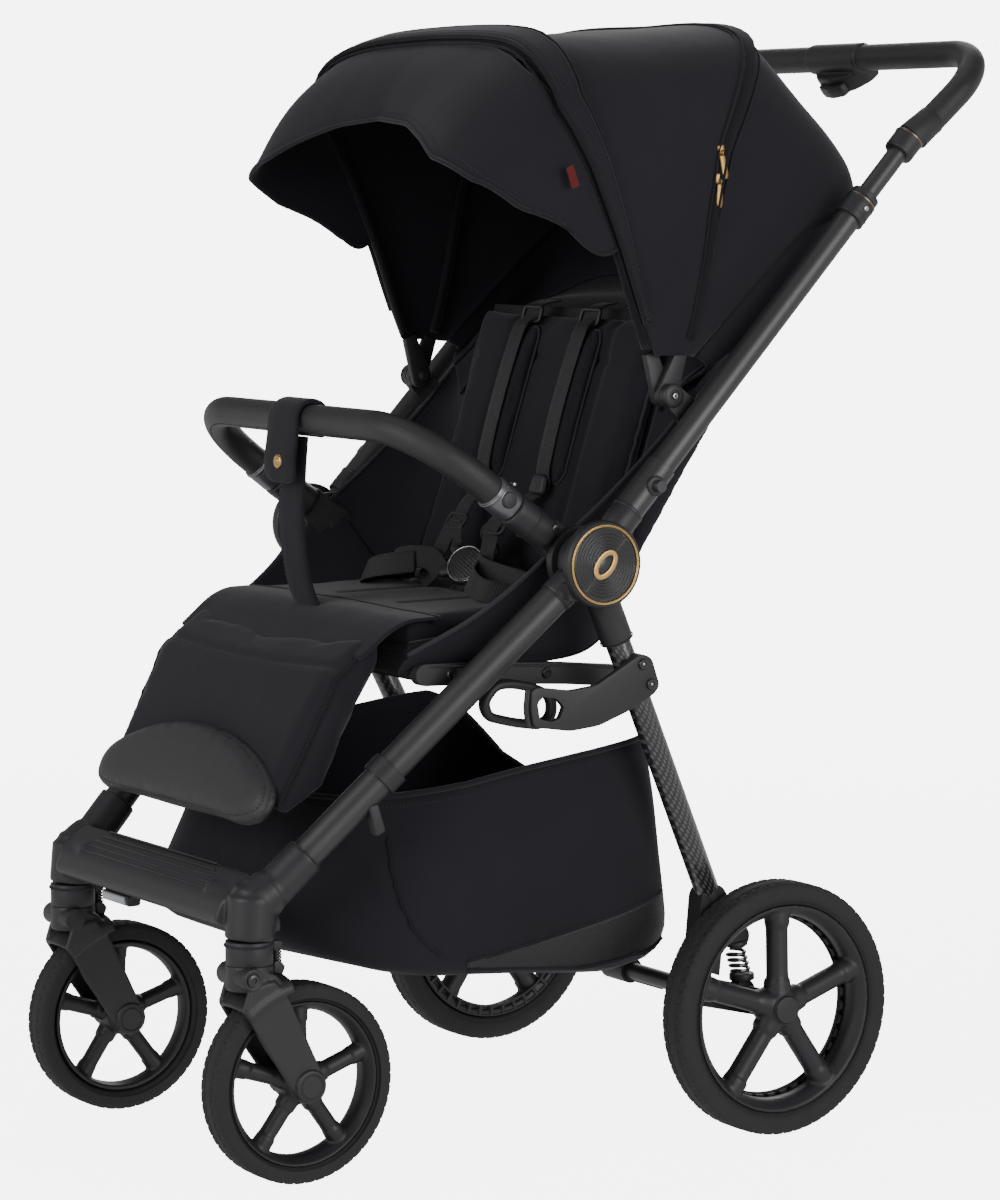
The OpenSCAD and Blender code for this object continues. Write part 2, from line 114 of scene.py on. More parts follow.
def even(line, n):
    """The polyline with n points the same distance apart."""
    along = np.concatenate([[0], np.cumsum(np.linalg.norm(np.diff(line, axis=0), axis=1))])
    at = np.linspace(0, along[-1], n)
    return np.stack([np.interp(at, along, line[:, k]) for k in range(line.shape[1])], 1)


HUB = (33, HUB_Z)
HINGE = (145, 772)            # canopy hinge
RECLINE = (112, 556)
BACK_ANGLE = 72
FOOT = (192, -300, 287)       # lower end of a front leg
PILLAR_Y = -315
FRONT_X = 192                 # half track of the front casters
TUBE_X = 270                  # distance of the frame's tubes from the middle
TUBE_ANGLE = 46.6             # slope of the upper tubes
SIDES = ((1, "left"), (-1, "right"))
BUMPER_ANGLE = 142.5
BAR = polar(HUB, 224, BUMPER_ANGLE)   # axis of the bumper's cross bar


def back_point(x, y, z):
    """A point given in the backrest's own axes: across, up the board, and out of it."""
    c, s = polar((0, 0), 1, BACK_ANGLE)
    return (x, RECLINE[0] + y * c - z * s, RECLINE[1] + y * s + z * c)


UP_BACK = (0, *polar((0, 0), 1, BACK_ANGLE))   # direction up the backrest


# ------------------------------------------------------------------ camera, stage, light
AZIMUTH, ELEVATION = math.radians(57.35), math.radians(6.0)
back = Vector((math.sin(AZIMUTH) * math.cos(ELEVATION), -math.cos(AZIMUTH) * math.cos(ELEVATION),
               math.sin(ELEVATION)))
camera = bpy.data.objects.new("camera", bpy.data.cameras.new("camera"))
SCENE.collection.objects.link(camera)
SCENE.camera = camera
camera.location = pt(3585, -2197, 991)
camera.rotation_euler = (-back).to_track_quat("-Z", "Y").to_euler()
camera.data.sensor_width = 36
camera.data.lens = 36 * 4007 / 1200
camera.data.clip_end = 60


def softbox(name, place, aim, size, power):
    """A round lamp at `place` that faces `aim`, in metres and watts."""
    lamp = bpy.data.lights.new(name, "AREA")
    lamp.shape, lamp.size, lamp.energy = "DISK", size, power
    o = bpy.data.objects.new(name, lamp)
    SCENE.collection.objects.link(o)
    o.location = place
    o.rotation_euler = (Vector(aim) - Vector(place)).to_track_quat("-Z", "Y").to_euler()


softbox("key", (0.4, -3.3, 1.9), (0, 0, 0.6), 2.6, 60)
softbox("side", (3.5, 0.6, 1.4), (0, 0, 0.5), 2.4, 62)
softbox("top", (-0.4, 0.2, 3.4), (0, 0, 0.6), 2.4, 9)
softbox("rear", (-2.6, 2.6, 2.2), (0, 0, 0.7), 2.2, 34)

# ------------------------------------------------------------------ materials


class Look:
    """A procedural material, and the node patterns that the materials share."""

    def __init__(self, name, roughness, **sockets):
        self.m = bpy.data.materials.new(name)
        self.m.use_nodes = True
        self.t = self.m.node_tree
        self.b = self.t.nodes["Principled BSDF"]
        self.b.inputs["Roughness"].default_value = roughness
        for k, v in sockets.items():
            self.b.inputs[k.replace("_", " ")].default_value = v
        self.place = self.add("TexCoord").outputs["Object"]

    def add(self, kind, ins=(), **props):
        n = self.t.nodes.new("ShaderNode" + kind)
        for k, v in props.items():
            setattr(n, k, v)
        for k, v in dict(ins).items():
            self.put(n.inputs[k], v)
        return n

    def put(self, socket, v):
        if isinstance(v, bpy.types.NodeSocket):
            self.t.links.new(v, socket)
        else:
            socket.default_value = v

    def noise(self, scale, detail=2.0, at=None):
        return self.add("TexNoise", {"Vector": at or self.place, "Scale": scale,
                                     "Detail": detail}).outputs[0]

    def wave(self, scale, axis):
        return self.add("TexWave", {"Vector": self.place, "Scale": scale},
                        bands_direction=axis).outputs[1]

    def cells(self, scale):
        return self.add("TexVoronoi", {"Vector": self.place, "Scale": scale},
                        feature="DISTANCE_TO_EDGE").outputs["Distance"]

    def math(self, kind, a, b=0.0, clamp=False):
        return self.add("Math", {0: a, 1: b}, operation=kind, use_clamp=clamp).outputs[0]

    def dot(self, direction):
        return self.add("VectorMath", {0: self.place, 1: direction},
                        operation="DOT_PRODUCT").outputs["Value"]

    def scaled(self, scale):
        return self.add("Mapping", {"Vector": self.place, "Scale": scale}).outputs[0]

    def ramp(self, fac, *stops):
        n = self.add("ValToRGB", {0: fac})
        line = n.color_ramp.elements
        while len(line) < len(stops):
            line.new(0.5)
        for e, (where, colour) in zip(line, stops):
            e.position = where
            e.color = (*colour, 1) if len(colour) == 3 else (*colour * 3, 1)
        return n.outputs[0]

    def mixed(self, fac, a, b):
        return self.add("Mix", {0: fac, 6: a, 7: b}, data_type="RGBA").outputs[2]

    def edges(self, radius):
        """(rounded normal, mask of the convex and concave edges)"""
        soft = self.add("Bevel", {"Radius": radius}, samples=4).outputs[0]
        true = self.add("NewGeometry").outputs["Normal"]
        same = self.add("VectorMath", {0: soft, 1: true}, operation="DOT_PRODUCT").outputs["Value"]
        return soft, self.math("MULTIPLY", self.math("SUBTRACT", 1.0, same), 5.0, clamp=True)

    def bump(self, height, distance, normal=None, strength=1.0):
        ins = {"Height": height, "Distance": distance, "Strength": strength}
        if normal:
            ins["Normal"] = normal
        return self.add("Bump", ins).outputs[0]

    def finish(self, colour, normal=None, roughness=None):
        self.put(self.b.inputs["Base Color"], colour)
        if normal:
            self.put(self.b.inputs["Normal"], normal)
        if roughness:
            self.put(self.b.inputs["Roughness"], roughness)
        return self.m


def shade(colour, k):
    """The colour k times as bright."""
    return tuple(min(1.0, c * k) for c in colour)


def woven(look, pitch):
    """Height of a plain weave of that pitch in metres, on a face of any direction."""
    k = 0.314 / pitch
    return look.math("ADD", look.math("ADD", look.wave(k, "X"), look.wave(k, "Y")), look.wave(k, "Z"))


def fabric(name, colour, pitch=0.0011, wrinkle=0.0012):
    f = Look(name, 0.92, Sheen_Weight=0.12, Sheen_Roughness=0.45, Specular_IOR_Level=0.25)
    weave, fibre, blotch = woven(f, pitch), f.noise(700, 3), f.noise(11, 3)
    tone = f.math("ADD", f.math("MULTIPLY", fibre, 0.55), f.math("MULTIPLY", blotch, 0.45))
    base = f.ramp(tone, (0.3, shade(colour, 0.8)), (0.7, shade(colour, 1.22)))
    fold = f.bump(f.noise(24, 2), wrinkle, strength=0.5)
    thread = f.bump(f.math("ADD", weave, f.math("MULTIPLY", fibre, 1.3)), 0.00022, fold, 0.14)
    return f.finish(base, thread, f.ramp(fibre, (0.2, (0.84,)), (0.8, (0.97,))))


def webbing(name, colour):
    f = Look(name, 0.55, Sheen_Weight=0.1, Specular_IOR_Level=0.4)
    rib = f.add("TexWave", {"Vector": f.place, "Scale": 150.0, "Distortion": 0.4}).outputs[1]
    cross = f.wave(210, "Z")
    base = f.ramp(f.math("MULTIPLY", rib, cross), (0.1, shade(colour, 0.7)), (0.9, shade(colour, 1.4)))
    return f.finish(base, f.bump(f.math("ADD", rib, cross), 0.0003, strength=0.6))


def leather(name, colour, roughness=0.5):
    f = Look(name, roughness, Specular_IOR_Level=0.42)
    grain = f.math("MINIMUM", f.cells(620), 0.35)
    fine, broad = f.noise(1500, 2), f.noise(9, 3)
    base = f.ramp(f.math("ADD", f.math("MULTIPLY", broad, 0.7), f.math("MULTIPLY", grain, 0.8)),
                  (0.25, shade(colour, 0.78)), (0.8, shade(colour, 1.2)))
    soft, worn = f.edges(0.002)
    base = f.mixed(f.math("MULTIPLY", worn, 0.5), base, (*shade(colour, 1.8), 1))
    height = f.math("ADD", f.math("MULTIPLY", grain, 2.2), f.math("MULTIPLY", fine, 0.25))
    return f.finish(base, f.bump(height, 0.00025, soft, 0.7),
                    f.ramp(broad, (0.3, (roughness - 0.07,)), (0.7, (roughness + 0.08,))))


def plastic(name, colour, roughness=0.5, grain=0.5, edge=0.0012, **sockets):
    f = Look(name, roughness, Specular_IOR_Level=0.45, **sockets)
    fine, broad, dust = f.noise(1900, 2), f.noise(13, 3), f.noise(160, 4)
    soft, worn = f.edges(edge)
    base = f.ramp(broad, (0.3, shade(colour, 0.88)), (0.7, shade(colour, 1.12)))
    worn = f.math("MULTIPLY", f.math("MULTIPLY", worn, f.ramp(dust, (0.4, (0.25,)), (0.65, (1.0,)))), 0.5)
    base = f.mixed(worn, base, (*shade(colour, 2.6), 1))
    return f.finish(base, f.bump(fine, 0.0001, soft, grain),
                    f.ramp(f.math("ADD", f.math("MULTIPLY", broad, 0.5), f.math("MULTIPLY", fine, 0.5)),
                           (0.3, (roughness - 0.06,)), (0.7, (roughness + 0.07,))))


def metal(name, colour, roughness, metallic, **sockets):
    brushed = (260, 260, 30)
    f = Look(name, roughness, Metallic=metallic, **sockets)
    streak = f.noise(8, 3, f.scaled(brushed))
    grit, broad = f.noise(2400, 2), f.noise(7, 3)
    soft, worn = f.edges(0.0008)
    base = f.ramp(f.math("ADD", f.math("MULTIPLY", streak, 0.4), f.math("MULTIPLY", broad, 0.6)),
                  (0.3, shade(colour, 0.86)), (0.7, shade(colour, 1.14)))
    base = f.mixed(f.math("MULTIPLY", worn, 0.35), base, (*shade(colour, 2.2), 1))
    return f.finish(base, f.bump(f.math("ADD", grit, streak), 0.00006, soft, 0.5),
                    f.ramp(streak, (0.25, (roughness - 0.06,)), (0.75, (roughness + 0.08,))))


def rubber(name, colour):
    f = Look(name, 0.75, Specular_IOR_Level=0.35)
    pits, dust, broad = f.cells(900), f.noise(55, 4), f.noise(10, 2)
    base = f.ramp(f.math("ADD", f.math("MULTIPLY", dust, 0.5), f.math("MULTIPLY", broad, 0.5)),
                  (0.35, shade(colour, 0.85)), (0.7, shade(colour, 1.25)))
    soft, worn = f.edges(0.0006)
    base = f.mixed(f.math("MULTIPLY", worn, 0.3), base, (*shade(colour, 2.0), 1))
    return f.finish(base, f.bump(f.math("MINIMUM", pits, 0.3), 0.0005, soft, 0.55),
                    f.ramp(dust, (0.3, (0.68,)), (0.7, (0.84,))))


def carbon(name, across):
    """Twill on a tube that runs along `across` turned a quarter, seen from the side."""
    f = Look(name, 0.32, Specular_IOR_Level=0.5, Coat_Weight=0.8, Coat_Roughness=0.12)
    u, v = f.dot((0, -across[1], across[0])), f.dot((0, across[0], across[1]))
    slant = f.math("ADD", f.math("MULTIPLY", u, 190), f.math("MULTIPLY", v, -260))
    band = f.math("PINGPONG", slant, 1.0)
    row = f.math("PINGPONG", f.math("ADD", f.math("MULTIPLY", v, 620), f.math("MULTIPLY", u, 170)), 1.0)
    tow = f.math("MULTIPLY", band, row)
    fibre = f.noise(6, 2,
                    f.add("CombineXYZ",
                          {0: f.math("MULTIPLY", u, 30), 1: f.math("MULTIPLY", v, 700)}).outputs[0])
    tone = f.math("MULTIPLY", tow, f.math("ADD", fibre, 0.4))
    base = f.ramp(tone, (0.18, (0.008, 0.008, 0.009)), (0.5, (0.085, 0.087, 0.092)))
    return f.finish(base, f.bump(tow, 0.00025, strength=0.5), f.ramp(tone, (0.1, (0.42,)), (0.6, (0.26,))))


NAVY = (0.0125, 0.0122, 0.0165)
LOOKS = {
    "fabric": fabric("fabric", NAVY),
    "lining": fabric("lining", (0.0062, 0.0060, 0.0085), 0.0013),
    "binding": fabric("binding", (0.0085, 0.0083, 0.0110), 0.0007, 0.0004),
    "piping": fabric("piping", (0.030, 0.030, 0.036), 0.0007, 0.0004),
    "webbing": webbing("webbing", (0.012, 0.012, 0.014)),
    "thread": fabric("thread", (0.022, 0.022, 0.028), 0.0006, 0.0),
    "leather": leather("leather", (0.021, 0.021, 0.022), 0.46),
    "pad_leather": leather("pad_leather", (0.026, 0.026, 0.028), 0.48),
    "plastic": plastic("plastic", (0.020, 0.020, 0.022), 0.46),
    "wheel_plastic": plastic("wheel_plastic", (0.017, 0.017, 0.019), 0.44, edge=0.0015),
    "gloss": plastic("gloss", (0.018, 0.018, 0.020), 0.24, 0.2, Coat_Weight=0.4, Coat_Roughness=0.2),
    "smoke": metal("smoke", (0.16, 0.16, 0.17), 0.30, 0.75),
    "tube": metal("tube", (0.060, 0.060, 0.062), 0.38, 0.6),
    "gold": metal("gold", (0.56, 0.35, 0.14), 0.28, 1.0),
    "old_gold": metal("old_gold", (0.36, 0.22, 0.08), 0.38, 1.0),
    "bronze": metal("bronze", (0.20, 0.165, 0.135), 0.30, 1.0),
    "steel": metal("steel", (0.42, 0.42, 0.44), 0.25, 1.0),
    "spring": metal("spring", (0.10, 0.10, 0.105), 0.28, 0.9),
    "tyre": rubber("tyre", (0.022, 0.022, 0.023)),
    "carbon": carbon("carbon", (0.915, 0.403)),
    "red": fabric("red", (0.11, 0.012, 0.012), 0.0006, 0.0),
    "clear": plastic("clear", (0.75, 0.76, 0.78), 0.12, 0.2, Transmission_Weight=0.6, IOR=1.49),
}


# ------------------------------------------------------------------ mesh helpers
def new_object(name, verts, faces, smooth=True):
    mesh = bpy.data.meshes.new(name)
    mesh.from_pydata([tuple(v) for v in verts], [], [tuple(f) for f in faces])
    work = bmesh.new()
    work.from_mesh(mesh)
    bmesh.ops.remove_doubles(work, verts=work.verts, dist=1e-6)
    bmesh.ops.recalc_face_normals(work, faces=work.faces)
    work.to_mesh(mesh)
    work.free()
    if smooth:
        mesh.shade_smooth()
    o = bpy.data.objects.new(name, mesh)
    SCENE.collection.objects.link(o)
    return o


def bake(o):
    """Applies every modifier."""
    done = bpy.data.meshes.new_from_object(o.evaluated_get(bpy.context.evaluated_depsgraph_get()))
    o.modifiers.clear()
    old, o.data = o.data, done
    bpy.data.meshes.remove(old)
    done.name = o.name
    return o


def modify(o, kind, **props):
    m = o.modifiers.new(kind, kind)
    for k, v in props.items():
        setattr(m, k, v)
    return o


def coords(o):
    co = np.zeros(len(o.data.vertices) * 3, np.float32)
    o.data.vertices.foreach_get("co", co)
    return co.reshape(-1, 3).astype(float)


def set_coords(o, co):
    o.data.vertices.foreach_set("co", co.astype(np.float32).ravel())
    o.data.update()
    return o


def place(o, where, look, replaces=(), auto=None):
    """Gives a finished mesh its material and, when `where` names one body, the body it moves with. A pair of
    bodies is not used: the mesh only has its placement applied.
    """
    o.data.materials.clear()
    o.data.materials.append(LOOKS[look])
    if auto:
        o.data.set_sharp_from_angle(angle=math.radians(auto))
    if isinstance(where, str):
        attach(o, where)
    else:
        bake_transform(o)
    if replaces:
        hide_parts(*replaces)
    return o


def grid_faces(rows, columns, close_rows=False, close_columns=False):
    """The quads of a grid of points numbered row by row."""
    return [
        (i * columns + k, i * columns + (k + 1) % columns,
         (i + 1) % rows * columns + (k + 1) % columns, (i + 1) % rows * columns + k)
        for i in range(rows if close_rows else rows - 1)
        for k in range(columns if close_columns else columns - 1)
    ]


def surface(name, grid, thick=0.0, close=False, sub=0):
    """A sheet through a grid of points in metres, thickened inwards."""
    rows, columns = grid.shape[:2]
    o = new_object(name, grid.reshape(-1, 3), grid_faces(rows, columns, close_columns=close))
    if sub:
        modify(o, "SUBSURF", levels=sub, render_levels=sub)
    if thick:
        modify(o, "SOLIDIFY", thickness=thick, offset=-1, use_even_offset=False)
    return bake(o)


def frames_along(path, side=None):
    """Tangent, side and normal at each point of a path, turning as little as possible."""
    tangent = np.gradient(path, axis=0)
    tangent /= np.linalg.norm(tangent, axis=1)[:, None]
    if side is not None:
        across = np.tile(np.array(side, float), (len(path), 1))
        across -= (across * tangent).sum(1)[:, None] * tangent
    else:
        first = np.cross(tangent[0], [0.31, 0.52, 0.79])
        across = [first]
        for t in tangent[1:]:
            across.append(across[-1] - (across[-1] @ t) * t)
        across = np.array(across)
    across /= np.linalg.norm(across, axis=1)[:, None]
    return tangent, across, np.cross(tangent, across)


def circle_section(r, n=10):
    a = np.arange(n) * 2 * math.pi / n
    return np.stack([r * np.cos(a), r * np.sin(a)], 1)


def strap_section(width, thick, n=4):
    """A flat section with round edges."""
    w, h = width / 2 - thick / 2, thick / 2
    arc = np.linspace(-math.pi / 2, math.pi / 2, n)
    right = np.stack([w + h * np.cos(arc), h * np.sin(arc)], 1)
    left = np.stack([-w - h * np.cos(arc), -h * np.sin(arc)], 1)
    middle = np.linspace(w, -w, 5)[1:-1]
    return np.vstack([right, np.stack([middle, np.full(3, h)], 1),
                      left, np.stack([-middle, np.full(3, -h)], 1)])


def sweep(name, path, section, side=None, closed=False):
    """A section in metres carried along a path in metres."""
    path = np.asarray(path, float)
    n, m = len(path), len(section)
    if closed:
        wrapped = np.vstack([path[-2:], path, path[:2]])
        _, across, normal = (f[2:-2] for f in frames_along(wrapped, side))
    else:
        _, across, normal = frames_along(path, side)
    ring = path[:, None, :] + across[:, None, :] * section[None, :,
                                                           :1] + normal[:, None, :] * section[None, :, 1:]
    faces = grid_faces(n, m, close_rows=closed, close_columns=True)
    if not closed:
        faces += [tuple(range(m)), tuple(range((n - 1) * m, n * m))]
    return new_object(name, ring.reshape(-1, 3), faces)


def revolve(name, profile, centre, n=96):
    """A profile of (radius, x) in millimetres turned about the X axis through centre."""
    p = np.asarray(profile, float)
    a = np.arange(n) * 2 * math.pi / n
    ring = np.stack([np.broadcast_to(p[None, :, 1] + centre[0], (n, len(p))),
                     centre[1] + p[None, :, 0] * np.cos(a)[:, None],
                     centre[2] + p[None, :, 0] * np.sin(a)[:, None]], 2)
    return new_object(name, pts(ring), grid_faces(n, len(p), close_rows=True))


def dome(name, outline, thick, crown=0.0, edge=0.2):
    """A button-like solid: a flat outline in millimetres at z 0, rounded over to `thick`."""
    line = np.asarray(outline, float)
    c = line.mean(0)
    steps = [(1 - edge * 0.6, 0), (1, 0.22), (1, 0.55), (1 - edge * 0.35, 0.85), (1 - edge, 1)]
    steps += [(s * (1 - edge), 1) for s in (0.8, 0.55, 0.3)]
    rings = []
    for s, h in steps:
        bulge = crown * (1 - s * s)
        rings.append(np.column_stack([c + (line - c) * s, np.full(len(line), h * thick + bulge * (h > 0.9))]))
    n = len(line)
    verts = np.vstack(rings + [[[*c, thick + crown]]])
    faces = grid_faces(len(rings), n, close_columns=True) + [tuple(range(n))]
    last = (len(rings) - 1) * n
    faces += [(last + k, last + (k + 1) % n, len(verts) - 1) for k in range(n)]
    return new_object(name, verts / 1000, faces)


def oriented(o, origin, x_axis, y_axis):
    """Moves a mesh made at the origin so that its axes lie along the given ones."""
    x = Vector(x_axis).normalized()
    z = x.cross(Vector(y_axis)).normalized()
    y = z.cross(x)
    turn = np.array([x, y, z])
    set_coords(o, coords(o) @ turn + np.array(origin))
    if turn[2] @ np.cross(turn[0], turn[1]) < 0:
        o.data.flip_normals()
    return o


def rounded(points, radius, n=5):
    """The outline with its corners rounded."""
    p = np.asarray(points, float)
    radii = np.broadcast_to(radius, len(p))
    out = []
    for i in range(len(p)):
        a, b, c = p[i - 1], p[i], p[(i + 1) % len(p)]
        r = min(radii[i], 0.48 * np.linalg.norm(a - b), 0.48 * np.linalg.norm(c - b))
        s, e = b + (a - b) / np.linalg.norm(a - b) * r, b + (c - b) / np.linalg.norm(c - b) * r
        for t in np.linspace(0, 1, n):
            out.append((1 - t) ** 2 * s + 2 * t * (1 - t) * b + t * t * e)
    return np.array(out)


def prism(name, outline, x0, x1, bevel=0.0):
    """A side-view outline in millimetres (Y, Z) between two X planes, with rounded edges."""
    n = len(outline)
    verts = [(x, *p) for x in (x0, x1) for p in outline]
    faces = [tuple(range(n)), tuple(range(n, 2 * n))]
    faces += [(k, (k + 1) % n, n + (k + 1) % n, n + k) for k in range(n)]
    o = new_object(name, pts(verts), faces, smooth=False)
    if bevel:
        modify(o, "BEVEL", width=bevel / 1000, segments=3, limit_method="ANGLE",
               angle_limit=math.radians(40))
        bake(o)
    o.data.shade_smooth()
    o.data.set_sharp_from_angle(angle=math.radians(38))
    return o


def rod(name, a, b, ra, rb=None, n=32, bevel=1.0):
    """A round bar between two points in millimetres, with rounded ends."""
    a, b, rb = np.array(a, float), np.array(b, float), rb or ra
    length = np.linalg.norm(b - a)
    t = np.array([0, 0, bevel * 0.3, bevel, length - bevel, length - bevel * 0.3, length, length])
    path = pts(a + (b - a) * (t / length)[:, None])
    near = np.linspace(ra, rb, 8)
    near[[0, 7]] = 0.01
    near[[1, 6]] -= bevel
    near[[2, 5]] -= bevel * 0.3
    tangent = (b - a) / length
    across = np.cross(tangent, [0.2, 0.5, 0.8])
    across /= np.linalg.norm(across)
    normal = np.cross(tangent, across)
    c = circle_section(1, n)
    ring = path[:, None] + (c[None, :, :1] * across + c[None, :, 1:] * normal) * near[:, None, None] / 1000
    faces = grid_faces(8, n, close_columns=True) + [tuple(range(n)), tuple(range(7 * n, 8 * n))]
    return new_object(name, ring.reshape(-1, 3), faces)


def joined(name, objects):
    """Several meshes as one object, untouched."""
    work = bmesh.new()
    for o in objects:
        work.from_mesh(o.data)
        bpy.data.objects.remove(o)
    mesh = bpy.data.meshes.new(name)
    work.to_mesh(mesh)
    work.free()
    whole = bpy.data.objects.new(name, mesh)
    SCENE.collection.objects.link(whole)
    return whole


def fused(name, objects, voxel, soften=4, keep=0.45):
    """Several overlapping solids as one moulded body with filleted joints."""
    o = joined(name, objects)
    modify(o, "REMESH", mode="VOXEL", voxel_size=voxel / 1000, use_smooth_shade=True)
    modify(o, "SMOOTH", factor=0.5, iterations=soften)
    if keep < 1:
        modify(o, "DECIMATE", ratio=keep)
    bake(o).data.shade_smooth()
    return o


def mirrored(o, name):
    """A copy on the other side of the stroller."""
    mesh = o.data.copy()
    mesh.name = name
    twin = bpy.data.objects.new(name, mesh)
    SCENE.collection.objects.link(twin)
    set_coords(twin, coords(twin) * np.array([-1, 1, 1]))
    mesh.flip_normals()
    return twin


def pair(o, where, look, replaces=(), auto=None):
    """Places a left piece and its mirror image. A {} in a body or node name is the side."""
    base = o.name
    o.name = base + "_left"
    twin = mirrored(o, base + "_right")
    both = any("{" in r for r in replaces)
    for piece, side in ((o, "left"), (twin, "right")):
        nodes = [r.format(side) for r in replaces] if both or piece is o else ()
        place(piece, where.format(side), look, nodes, auto)
    return o, twin


def puffed(o, cap, voxel):
    """Swells a closed pad by cloth simulation, no point moving more than `cap` millimetres."""
    modify(o, "REMESH", mode="VOXEL", voxel_size=voxel / 1000)
    modify(o, "SMOOTH", factor=0.5, iterations=3)
    bake(o)
    rest = coords(o)
    cloth = o.modifiers.new("Cloth", "CLOTH")
    s = cloth.settings
    s.use_pressure, s.uniform_pressure_force = True, 4.0
    s.effector_weights.gravity = 0
    s.quality = 4
    cloth.collision_settings.use_collision = False
    for f in range(1, 21):
        SCENE.frame_set(f)
    swollen = o.evaluated_get(bpy.context.evaluated_depsgraph_get()).to_mesh()
    co = np.array([v.co for v in swollen.vertices], float)
    o.modifiers.clear()
    SCENE.frame_set(1)
    move = co - rest
    far = np.linalg.norm(move, axis=1)[:, None]
    set_coords(o, rest + move * np.minimum(1, cap / 1000 / np.maximum(far, 1e-9)))
    modify(o, "SMOOTH", factor=0.5, iterations=2)
    modify(o, "SUBSURF", levels=1, render_levels=1)
    bake(o).data.shade_smooth()
    return o


def seam(o, path, depth=2.0, width=5.0):
    """Draws the surface in along a line, as a sewn seam does. The path is in metres."""
    tree = kdtree.KDTree(len(path))
    for i, p in enumerate(path):
        tree.insert(p, i)
    tree.balance()
    co = coords(o)
    normals = np.zeros(len(co) * 3, np.float32)
    o.data.vertices.foreach_get("normal", normals)
    near = np.array([tree.find(Vector(c))[2] for c in co])
    pull = depth / 1000 * np.exp(-((near / (width / 1000)) ** 2))
    return set_coords(o, co - normals.reshape(-1, 3) * pull[:, None])


def snapped(o, path, lift=0.0):
    """The path laid on the nearest surface of a mesh."""
    out = []
    for p in path:
        _, where, normal, _ = o.closest_point_on_mesh(Vector(p))
        out.append(np.array(where + normal * lift / 1000))
    return np.array(out)


def stitches(name, path, where, pitch=4.2, length=2.9, r=0.42, on=None, look="thread"):
    """A row of stitches along a path in metres, laid on a surface if one is given."""
    total = np.linalg.norm(np.diff(path, axis=0), axis=1).sum()
    line = even(np.asarray(path), max(4, int(total * 1000 / pitch) * 2 + 1))
    if on is not None:
        line = snapped(on, line, 0.15)
    verts, faces = [], []
    for i in range(0, len(line) - 1, 2):
        a, b = line[i], line[i + 1]
        d = b - a
        size = np.linalg.norm(d)
        if size < 1e-7:
            continue
        d /= size
        mid, half = (a + b) / 2, length / 2000
        u = np.cross(d, [0.3, 0.5, 0.81])
        u /= np.linalg.norm(u)
        v, k = np.cross(d, u), len(verts)
        verts.append(mid - d * half)
        for t in (-0.55, 0.55):
            verts += [mid + d * half * t + (u * c + v * s) * r / 1000
                      for c, s in ((1, 0), (0, 1), (-1, 0), (0, -1))]
        verts.append(mid + d * half)
        faces += [(k, k + 1 + j, k + 1 + (j + 1) % 4) for j in range(4)]
        faces += [(k + 1 + j, k + 1 + (j + 1) % 4, k + 5 + (j + 1) % 4, k + 5 + j) for j in range(4)]
        faces += [(k + 9, k + 5 + (j + 1) % 4, k + 5 + j) for j in range(4)]
    return place(new_object(name, verts, faces), where, look)


def piping(name, path, where, r=1.6, look="binding", closed=False, on=None, lift=0.0):
    """A round edging along a path in metres, laid on a surface if one is given."""
    path = np.asarray(path)
    if on is not None:
        path = snapped(on, path, lift)
    return place(sweep(name, path, circle_section(r / 1000, 8), closed=closed), where, look)


def ripple(grid, size, scale, seed=0.0, fade=None):
    """Moves a grid of points along a soft noise, as relaxed cloth lies."""
    shift = np.array([noise.noise(Vector(p) * scale + Vector((seed, 0, 0))) for p in grid.reshape(-1, 3)])
    shift = shift.reshape(grid.shape[:2]) * size / 1000
    if fade is not None:
        shift = shift * fade
    du, dv = np.gradient(grid, axis=0), np.gradient(grid, axis=1)
    normal = np.cross(du, dv)
    normal /= np.maximum(np.linalg.norm(normal, axis=2)[:, :, None], 1e-9)
    return grid + normal * shift[:, :, None]


def cut_size(grid):
    """(width, length, area) of the flat cut of a sheet made of a grid of points."""
    rows = np.linalg.norm(np.diff(grid, axis=1), axis=2).sum(1)
    columns = np.linalg.norm(np.diff(grid, axis=0), axis=2).sum(0)
    a, b = grid[1:, :-1] - grid[:-1, :-1], grid[:-1, 1:] - grid[:-1, :-1]
    c, d = grid[1:, :-1] - grid[1:, 1:], grid[:-1, 1:] - grid[1:, 1:]
    area = (np.linalg.norm(np.cross(a, b), axis=2) + np.linalg.norm(np.cross(c, d), axis=2)).sum() / 2
    return round(float(rows.max()), 3), round(float(columns.max()), 3), round(float(area), 4)


def sheet(o, grid):
    """Measures a sheet's flat size on its own grid and clamps the area between 0.301 and 1 times the width by
    the length; the result is not kept."""
    width, length, area = cut_size(grid)
    area = min(max(area, 0.301 * width * length), width * length)
    return o


# ------------------------------------------------------------------ canopy
def hoop(foot, corner, top, half, angles, n=65, power=0.52):
    """A bow over the child, from the right foot over the top to the left one, n points in metres.

    foot, corner and top are distances from the hinge; angles is a table of (share of the way from
    the top to a foot, angle in the side view)."""
    s = np.linspace(0, math.pi / 2, 240)
    x = np.concatenate([half * np.sin(s) ** power, np.full(30, half)])
    r = np.concatenate([corner + (top - corner) * np.cos(s) ** power, np.linspace(corner, foot, 31)[1:]])
    flat = even(np.stack([x, r], 1), n // 2 + 1)
    share = np.linspace(0, 1, len(flat))
    table = np.array(angles, float)
    a = np.radians(np.interp(share, table[:, 0], table[:, 1]))
    side = np.stack([flat[:, 0], HINGE[0] + flat[:, 1] * np.cos(a), HINGE[1] + flat[:, 1] * np.sin(a)], 1)
    return pts(np.vstack([side[::-1] * [-1, 1, 1], side[1:]]))


def lofted(rows, n):
    """n rows through the given rows, on smooth curves."""
    rows = np.asarray(rows)
    return np.stack([curve(rows[:, k], n) for k in range(rows.shape[1])], 1)


